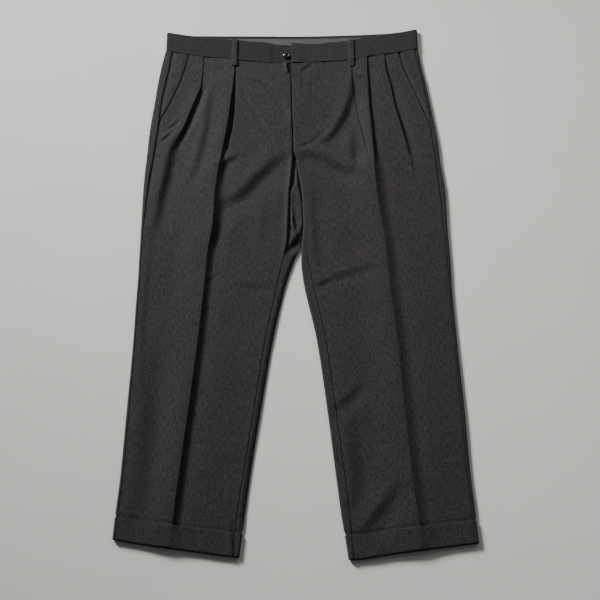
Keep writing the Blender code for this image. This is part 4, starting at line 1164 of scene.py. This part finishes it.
def wool_material(name, warp_stretch, weft_stretch, tone):
    """Charcoal worsted wool, a twill of dark, grey and brown yarns: matt, with an uneven fleck and soft fuzz.

    The real twill line is 0.4 mm. It is drawn wider, so that it shows.
    """
    colours = bpy.context.scene.trousers_colours
    material, tree, place = new_material(name, "UV")
    fleck = noise(tree, place, 480.0, 4.0, 0.8)
    warp = noise(tree, stretched(tree, place, (1.0, warp_stretch, 1.0)), 560.0)
    weft = noise(tree, stretched(tree, place, (weft_stretch, 1.0, 1.0)), 560.0)
    yarn = node(tree, "Math", {"operation": "ADD"}, {0: warp, 1: weft}).outputs[0]
    level = ranged(tree, weighed(tree, yarn, 0.5, fleck), 0.88, 1.14)
    body = blend(tree, level, opaque(colours.wool_dark), opaque(colours.wool_light))
    warm = ranged(tree, noise(tree, place, 330.0, 2.0, 0.7), 0.55, 0.75, 0.0, 0.5)
    tinted = blend(tree, warm, body, opaque(colours.wool_fleck))
    # The last factor darkens the colour of each waistband half to suit the key light: painted shade. The noise
    # is the cloth's own uneven tone.
    shade = ranged(tree, noise(tree, place, 22.0, 3.0, 0.6), 0.3, 0.7, 0.93 * tone, 1.07 * tone)
    twill = bands(tree, place, TWILL_PITCH, ROOT_2, 0.6, 1.0, 1.5)
    surface(tree, {
        "Base Color": scaled(tree, tinted, shade), "Roughness": ranged(tree, fleck, 0.3, 0.7, 0.82, 0.96),
        "Normal": bump(tree, 0.55, 0.0004, weighed(tree, twill, 0.35, fleck)), "IOR": 1.54,
        "Specular IOR Level": 0.25, "Sheen Weight": 0.18, "Sheen Roughness": 0.45,
        "Sheen Tint": opaque(colours.wool_sheen)})
    return material


def lining_material(name):
    """Grey cotton lining, woven in a fine herringbone: lighter than the wool, with a faint lustre."""
    colours = bpy.context.scene.trousers_colours
    material, tree, place = new_material(name, "UV")
    weave = bands(tree, place, LINING_PITCH, ROOT_2, 1.2, 1.0)
    mixed = weighed(tree, weave, 0.4, noise(tree, place, 420.0, 3.0, 0.7))
    level = ranged(tree, mixed, 0.4, 1.0)
    body = blend(tree, level, opaque(colours.lining_dark), opaque(colours.lining_light))
    surface(tree, {"Base Color": body, "Roughness": 0.7, "Normal": bump(tree, 0.4, 0.0003, mixed), "IOR": 1.5,
                   "Specular IOR Level": 0.35, "Sheen Weight": 0.1})
    return material


def button_material(name):
    """Polished dark polyester in the look of horn: brown streaks of 2 mm under a clear gloss."""
    colours = bpy.context.scene.trousers_colours
    material, tree, place = new_material(name, "Object")
    streak = noise(tree, stretched(tree, place, (1.0, 0.35, 1.0)), 500.0, 4.0, 0.6, 0.8)
    level = ranged(tree, streak, 0.4, 0.75)
    body = blend(tree, level, opaque(colours.button_dark), opaque(colours.button_streak))
    surface(tree, {"Base Color": body, "Roughness": 0.16, "IOR": 1.56, "Coat Weight": 0.4,
                   "Coat Roughness": 0.08})
    return material


def thread_material(name):
    """Spun polyester sewing thread: two plies twisted at 0.5 mm, slightly glossier than the wool, and darker
    than it so that the stitch lines also carry the shade of their grooves, which is painted shade.
    """
    colours = bpy.context.scene.trousers_colours
    material, tree, place = new_material(name, "Object")
    ply = bands(tree, place, PLY_PITCH, ROOT_3)
    level = ranged(tree, noise(tree, place, 1500.0), 0.3, 0.7, 0.7, 1.3)
    surface(tree, {"Base Color": scaled(tree, colours.thread, level), "Roughness": 0.55,
                   "Normal": bump(tree, 0.5, 0.00008, ply), "IOR": 1.5, "Sheen Weight": 0.1})
    return material


def floor_material(name):
    """Plain pale matt paper, with the faintest mottling."""
    colours = bpy.context.scene.trousers_colours
    material, tree, place = new_material(name, "Object")
    level = ranged(tree, noise(tree, place, 6.0, 3.0), 0.3, 0.7, 0.985, 1.015)
    surface(tree, {"Base Color": scaled(tree, colours.floor, level), "Roughness": 0.85, "IOR": 1.45,
                   "Specular IOR Level": 0.3})
    return material


def shared(name, make, *options):
    """The material of that name, made the first time it is asked for."""
    return bpy.data.materials.get(name) or make(name, *options)


def wool():
    return shared("worsted_wool_twill", wool_material, *GRAIN_ALONG, 1.0)


def cross_cut_wool_painted_shade(half):
    """The same cloth cut across its grain, with painted shade: its colour is darkened in each half to sit right
    under the key light.
    """
    name = f"worsted_wool_twill_cut_across_{half.name}"
    return shared(name, wool_material, *GRAIN_ACROSS, ACROSS_PAINTED_SHADE[half.name])


def thread():
    return shared("spun_polyester_thread", thread_material)


def settle(piece, slot, *nodes):
    """Tie a piece to the garment's one body and hide the solids that it stands for. The slot is not used."""
    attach(piece, "root")
    if nodes:
        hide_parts(*nodes)


def lay_cloth(solid, rows, material, slot="wool", **options):
    """The cloth that stands for a solid, in the thickness that its slot has."""
    sizes = bpy.context.scene.trousers_sizes
    thickness = sizes.cloth_thickness if slot == "wool" else sizes.lining_thickness
    piece = cloth(f"{solid}_cloth", rows, thickness, material, **options)
    settle(piece, slot, solid)
    return piece


def length_property(name, description, default, low, high):
    return FloatProperty(name=name, description=description, default=default, min=low, max=high,
                         unit="LENGTH", subtype="DISTANCE")


class TrousersSizes(bpy.types.PropertyGroup):
    """Sizes that a user would change."""

    cloth_thickness: length_property("Cloth thickness", "Thickness of the wool", 0.0007, 0.0003, 0.0009)
    lining_thickness: length_property("Lining thickness", "Thickness of the waistband lining", 0.0005, 0.0002,
                                      0.0008)
    stitch_length: length_property("Stitch length", "Length of one visible stitch", 0.0022, 0.001, 0.004)
    stitch_pitch: length_property("Stitch pitch", "Distance from one stitch to the next", 0.003, 0.0015,
                                  0.006)
    thread_width: length_property("Thread width", "Width of the sewing thread", 0.0006, 0.0002, 0.001)
    floor_size: length_property("Floor size", "Side of the floor sheet", 12.0, 3.0, 30.0)
    camera_distance: length_property("Camera distance", "Distance from the camera to the garment", 2.24,
                                     1.0, 5.0)
    camera_tilt: FloatProperty(name="Camera tilt", description="Angle of the view from straight down",
                               default=radians(24.3), min=0.0, max=1.3, unit="ROTATION", subtype="ANGLE")


def colour_property(name, description, code):
    return FloatVectorProperty(name=name, description=description, size=3, subtype="COLOR", min=0.0, max=1.0,
                               default=linear(code))


class TrousersColours(bpy.types.PropertyGroup):
    """Colours that a user would change."""

    wool_dark: colour_property("Wool, dark yarn", "The darker of the two yarns", "#0e0d0d")
    wool_light: colour_property("Wool, light yarn", "The lighter of the two yarns", "#373333")
    wool_fleck: colour_property("Wool, fleck", "Warm flecks in the yarn", "#352e2b")
    wool_sheen: colour_property("Wool, fuzz", "Light caught by the fuzz", "#b8b2ac")
    lining_dark: colour_property("Lining, dark", "The darker thread of the lining", "#2f2e2f")
    lining_light: colour_property("Lining, light", "The lighter thread of the lining", "#545354")
    button_dark: colour_property("Button", "The body of the button", "#17120f")
    button_streak: colour_property("Button streaks", "Lighter streaks in the button", "#3a2a20")
    # Darker than the wool, so that the stitches also stand for the shade in their grooves: partly painted
    # shade.
    thread: colour_property("Thread", "Sewing thread", "#161514")
    floor: colour_property("Floor", "The floor sheet", "#dcd8d2")


class TROUSERS_OT_fronts(bpy.types.Operator):
    """Make the two front panels, with their pleats, pressed creases and soft folds"""

    bl_idname = "trousers.fronts"
    bl_label = "Front panels"

    def execute(self, context):
        for half in (right, left):
            piece = lay_cloth(f"front_{half.name}", front_rows(half), wool(), middle=FRONT_MIDDLE,
                              flip=half.sign > 0)
        return {"FINISHED"}


class TROUSERS_OT_backs(bpy.types.Operator):
    """Make the two back panels, which roll over at the side and the inner leg"""

    bl_idname = "trousers.backs"
    bl_label = "Back panels"

    def execute(self, context):
        for half in (right, left):
            rows, gone = back_rows(half)
            piece = lay_cloth(f"back_{half.name}", rows, wool(), middle=BACK_MIDDLE, gone=gone,
                              flip=half.sign < 0)
        return {"FINISHED"}


class TROUSERS_OT_facings(bpy.types.Operator):
    """Make the cloth that shows in the slanted pocket mouths"""

    bl_idname = "trousers.facings"
    bl_label = "Pocket facings"

    def execute(self, context):
        for half in (right, left):
            piece = lay_cloth(f"pocket_facing_{half.name}", facing_rows(half), wool(), flip=half.sign > 0)
        return {"FINISHED"}


class TROUSERS_OT_waistband(bpy.types.Operator):
    """Make the two halves of the waistband, folded over at the top"""

    bl_idname = "trousers.waistband"
    bl_label = "Waistband"

    def execute(self, context):
        for half in (right, left):
            # Each half's cloth has its colour darkened to suit the key light: painted shade.
            piece = lay_cloth(f"waistband_{half.name}", waistband_rows(half), cross_cut_wool_painted_shade(half),
                              flip=half.sign < 0)
        return {"FINISHED"}


class TROUSERS_OT_lining(bpy.types.Operator):
    """Make the lining inside the back waistband"""

    bl_idname = "trousers.lining"
    bl_label = "Waistband lining"

    def execute(self, context):
        material = shared("grey_cotton_lining", lining_material)
        piece = lay_cloth("waistband_lining", lining_rows(), material, slot="lining")
        return {"FINISHED"}


class TROUSERS_OT_loops(bpy.types.Operator):
    """Make the two front belt loops"""

    bl_idname = "trousers.loops"
    bl_label = "Belt loops"

    def execute(self, context):
        for half in (right, left):
            piece = lay_cloth(f"belt_loop_{half.name}", loop_rows(half), wool())
        return {"FINISHED"}


class TROUSERS_OT_cuffs(bpy.types.Operator):
    """Make the two turned-up cuffs"""

    bl_idname = "trousers.cuffs"
    bl_label = "Cuffs"

    def execute(self, context):
        for half in (right, left):
            piece = lay_cloth(f"cuff_{half.name}", cuff_rows(half), wool(), ring=True, flip=half.sign > 0)
        return {"FINISHED"}


class TROUSERS_OT_button(bpy.types.Operator):
    """Make the waistband's four-hole button, sewn on with two pairs of parallel thread bars"""

    bl_idname = "trousers.button"
    bl_label = "Button"

    def execute(self, context):
        x, y = BUTTON_AT
        foot = float(band_height(right, x)) + BUTTON_STAND
        cylinder(64, BUTTON_RADIUS, BUTTON_THICKNESS, (x, y, foot + BUTTON_THICKNESS / 2))
        piece = named("sewn_button")
        bpy.ops.object.transform_apply(location=True, rotation=True, scale=True)
        select_faces(piece.data, [face.normal.z > 0.9 for face in piece.data.polygons])
        with editing():
            for inwards, rise in BUTTON_STEPS:
                bpy.ops.mesh.inset(thickness=inwards * MM, depth=rise * MM)
        apply_modifier(piece, "BEVEL", width=0.5 * MM, segments=4, limit_method="ANGLE",
                       angle_limit=radians(50.0))
        piece.data.materials.append(shared("polished_horn_polyester", button_material))
        half_pitch = HOLE_PITCH / 2
        holes = []
        for k in range(4):
            a = pi / 4 + k * pi / 2
            cylinder(20, HOLE_RADIUS, 6.0,
                     (x + half_pitch * ROOT_2 * cos(a), y + half_pitch * ROOT_2 * sin(a), foot + 1.5))
            holes.append(context.object)
        for hole in holes:
            apply_modifier(piece, "BOOLEAN", operation="DIFFERENCE", object=hole, solver="EXACT")
        for hole in holes:
            bpy.data.objects.remove(hole)
        smooth_faces(piece, 30.0)
        settle(piece, "button", "button")
        model = capsule("button_thread_model", *BAR, thread())
        level = foot + BUTTON_THICKNESS + sum(rise for _, rise in BUTTON_STEPS) + 0.1
        bars = []
        for k in (-1, 1):
            for offset in (-BAR_APART, BAR_APART):
                at = Vector((x, y + k * half_pitch + offset, level))
                bars.append(copy_to(model, Matrix.Translation(at * MM)))
        bpy.data.objects.remove(model)
        settle(joined("button_thread", bars), "button")
        return {"FINISHED"}


class TROUSERS_OT_stitching(bpy.types.Operator):
    """Sew the fly and the pocket mouths"""

    bl_idname = "trousers.stitching"
    bl_label = "Stitching"

    def execute(self, context):
        sizes = context.scene.trousers_sizes
        width = sizes.thread_width / MM
        model = capsule("stitch_model", sizes.stitch_length / MM, width, width, thread())
        pitch = sizes.stitch_pitch / MM
        route = smooth_route(FLY_STITCH, 120)
        made = stitch_line(model, route[:, 0], route[:, 1], left, pitch)
        for half in (right, left):
            level = np.linspace(POCKET_FOOT + 2.0, WAIST_LEVEL - 2.0, 60)
            x = half.place(half.front_edge, level)[0] - half.sign * STITCH_IN
            made += stitch_line(model, x, half.bend(x, level), half, pitch)
        bpy.data.objects.remove(model)
        settle(joined("stitching", made), "wool")
        return {"FINISHED"}


class TROUSERS_OT_stage(bpy.types.Operator):
    """Set up the floor, the lights and the camera"""

    bl_idname = "trousers.stage"
    bl_label = "Floor, lights and camera"

    def execute(self, context):
        sizes = context.scene.trousers_sizes
        only()
        bpy.ops.mesh.primitive_plane_add(size=sizes.floor_size, location=(0.0, 0.0, -0.2 * MM))
        floor = named("floor")
        bpy.ops.object.transform_apply(location=True, rotation=True, scale=True)
        floor.data.materials.append(shared("pale_studio_paper", floor_material))
        for name, place, target, size, spread, power in LIGHTS:
            light = bpy.data.lights.new(name, "AREA")
            light.shape = "SQUARE"
            light.size = size
            light.spread = spread
            light.energy = power
            lamp = bpy.data.objects.new(name, light)
            lamp.location = place
            lamp.rotation_euler = (Vector(target) - Vector(place)).to_track_quat("-Z", "Y").to_euler()
            context.scene.collection.objects.link(lamp)
        world = bpy.data.worlds.new("soft_room_light")
        world.use_nodes = True
        background = world.node_tree.nodes["Background"].inputs
        background["Color"].default_value = opaque(linear("#e9edf2"))
        background["Strength"].default_value = WORLD_STRENGTH
        context.scene.world = world
        camera = bpy.data.cameras.new("camera")
        camera.lens = LENS
        camera.sensor_width = SENSOR_WIDTH
        view = bpy.data.objects.new("camera", camera)
        tilt = sizes.camera_tilt
        view.location = Vector(AIM) + sizes.camera_distance * Vector((0.0, -sin(tilt), cos(tilt)))
        view.rotation_euler = (tilt, 0.0, 0.0)
        context.scene.collection.objects.link(view)
        context.scene.camera = view
        return {"FINISHED"}


OPERATORS = (TROUSERS_OT_fronts, TROUSERS_OT_backs, TROUSERS_OT_facings, TROUSERS_OT_waistband,
             TROUSERS_OT_lining, TROUSERS_OT_loops, TROUSERS_OT_cuffs, TROUSERS_OT_button,
             TROUSERS_OT_stitching, TROUSERS_OT_stage)


class TROUSERS_PT_pieces(bpy.types.Panel):
    """Lists the pieces, the sizes and the colours"""

    bl_label = "Trousers"
    bl_idname = "TROUSERS_PT_pieces"
    bl_space_type = "VIEW_3D"
    bl_region_type = "UI"
    bl_category = "Trousers"

    def draw(self, context):
        for group in (context.scene.trousers_sizes, context.scene.trousers_colours):
            box = self.layout.box()
            for name in group.__annotations__:
                box.prop(group, name)
        for operator in OPERATORS:
            self.layout.operator(operator.bl_idname)


CLASSES = (TrousersSizes, TrousersColours, *OPERATORS, TROUSERS_PT_pieces)


def register():
    for item in CLASSES:
        bpy.utils.register_class(item)
    bpy.types.Scene.trousers_sizes = PointerProperty(type=TrousersSizes)
    bpy.types.Scene.trousers_colours = PointerProperty(type=TrousersColours)


def unregister():
    del bpy.types.Scene.trousers_colours
    del bpy.types.Scene.trousers_sizes
    for item in reversed(CLASSES):
        bpy.utils.unregister_class(item)


def main():
    register()
    bpy.ops.trousers.fronts()
    bpy.ops.trousers.backs()
    bpy.ops.trousers.facings()
    bpy.ops.trousers.waistband()
    bpy.ops.trousers.lining()
    bpy.ops.trousers.loops()
    bpy.ops.trousers.cuffs()
    bpy.ops.trousers.button()
    bpy.ops.trousers.stitching()
    bpy.ops.trousers.stage()


if __name__ == "__main__":
    main()
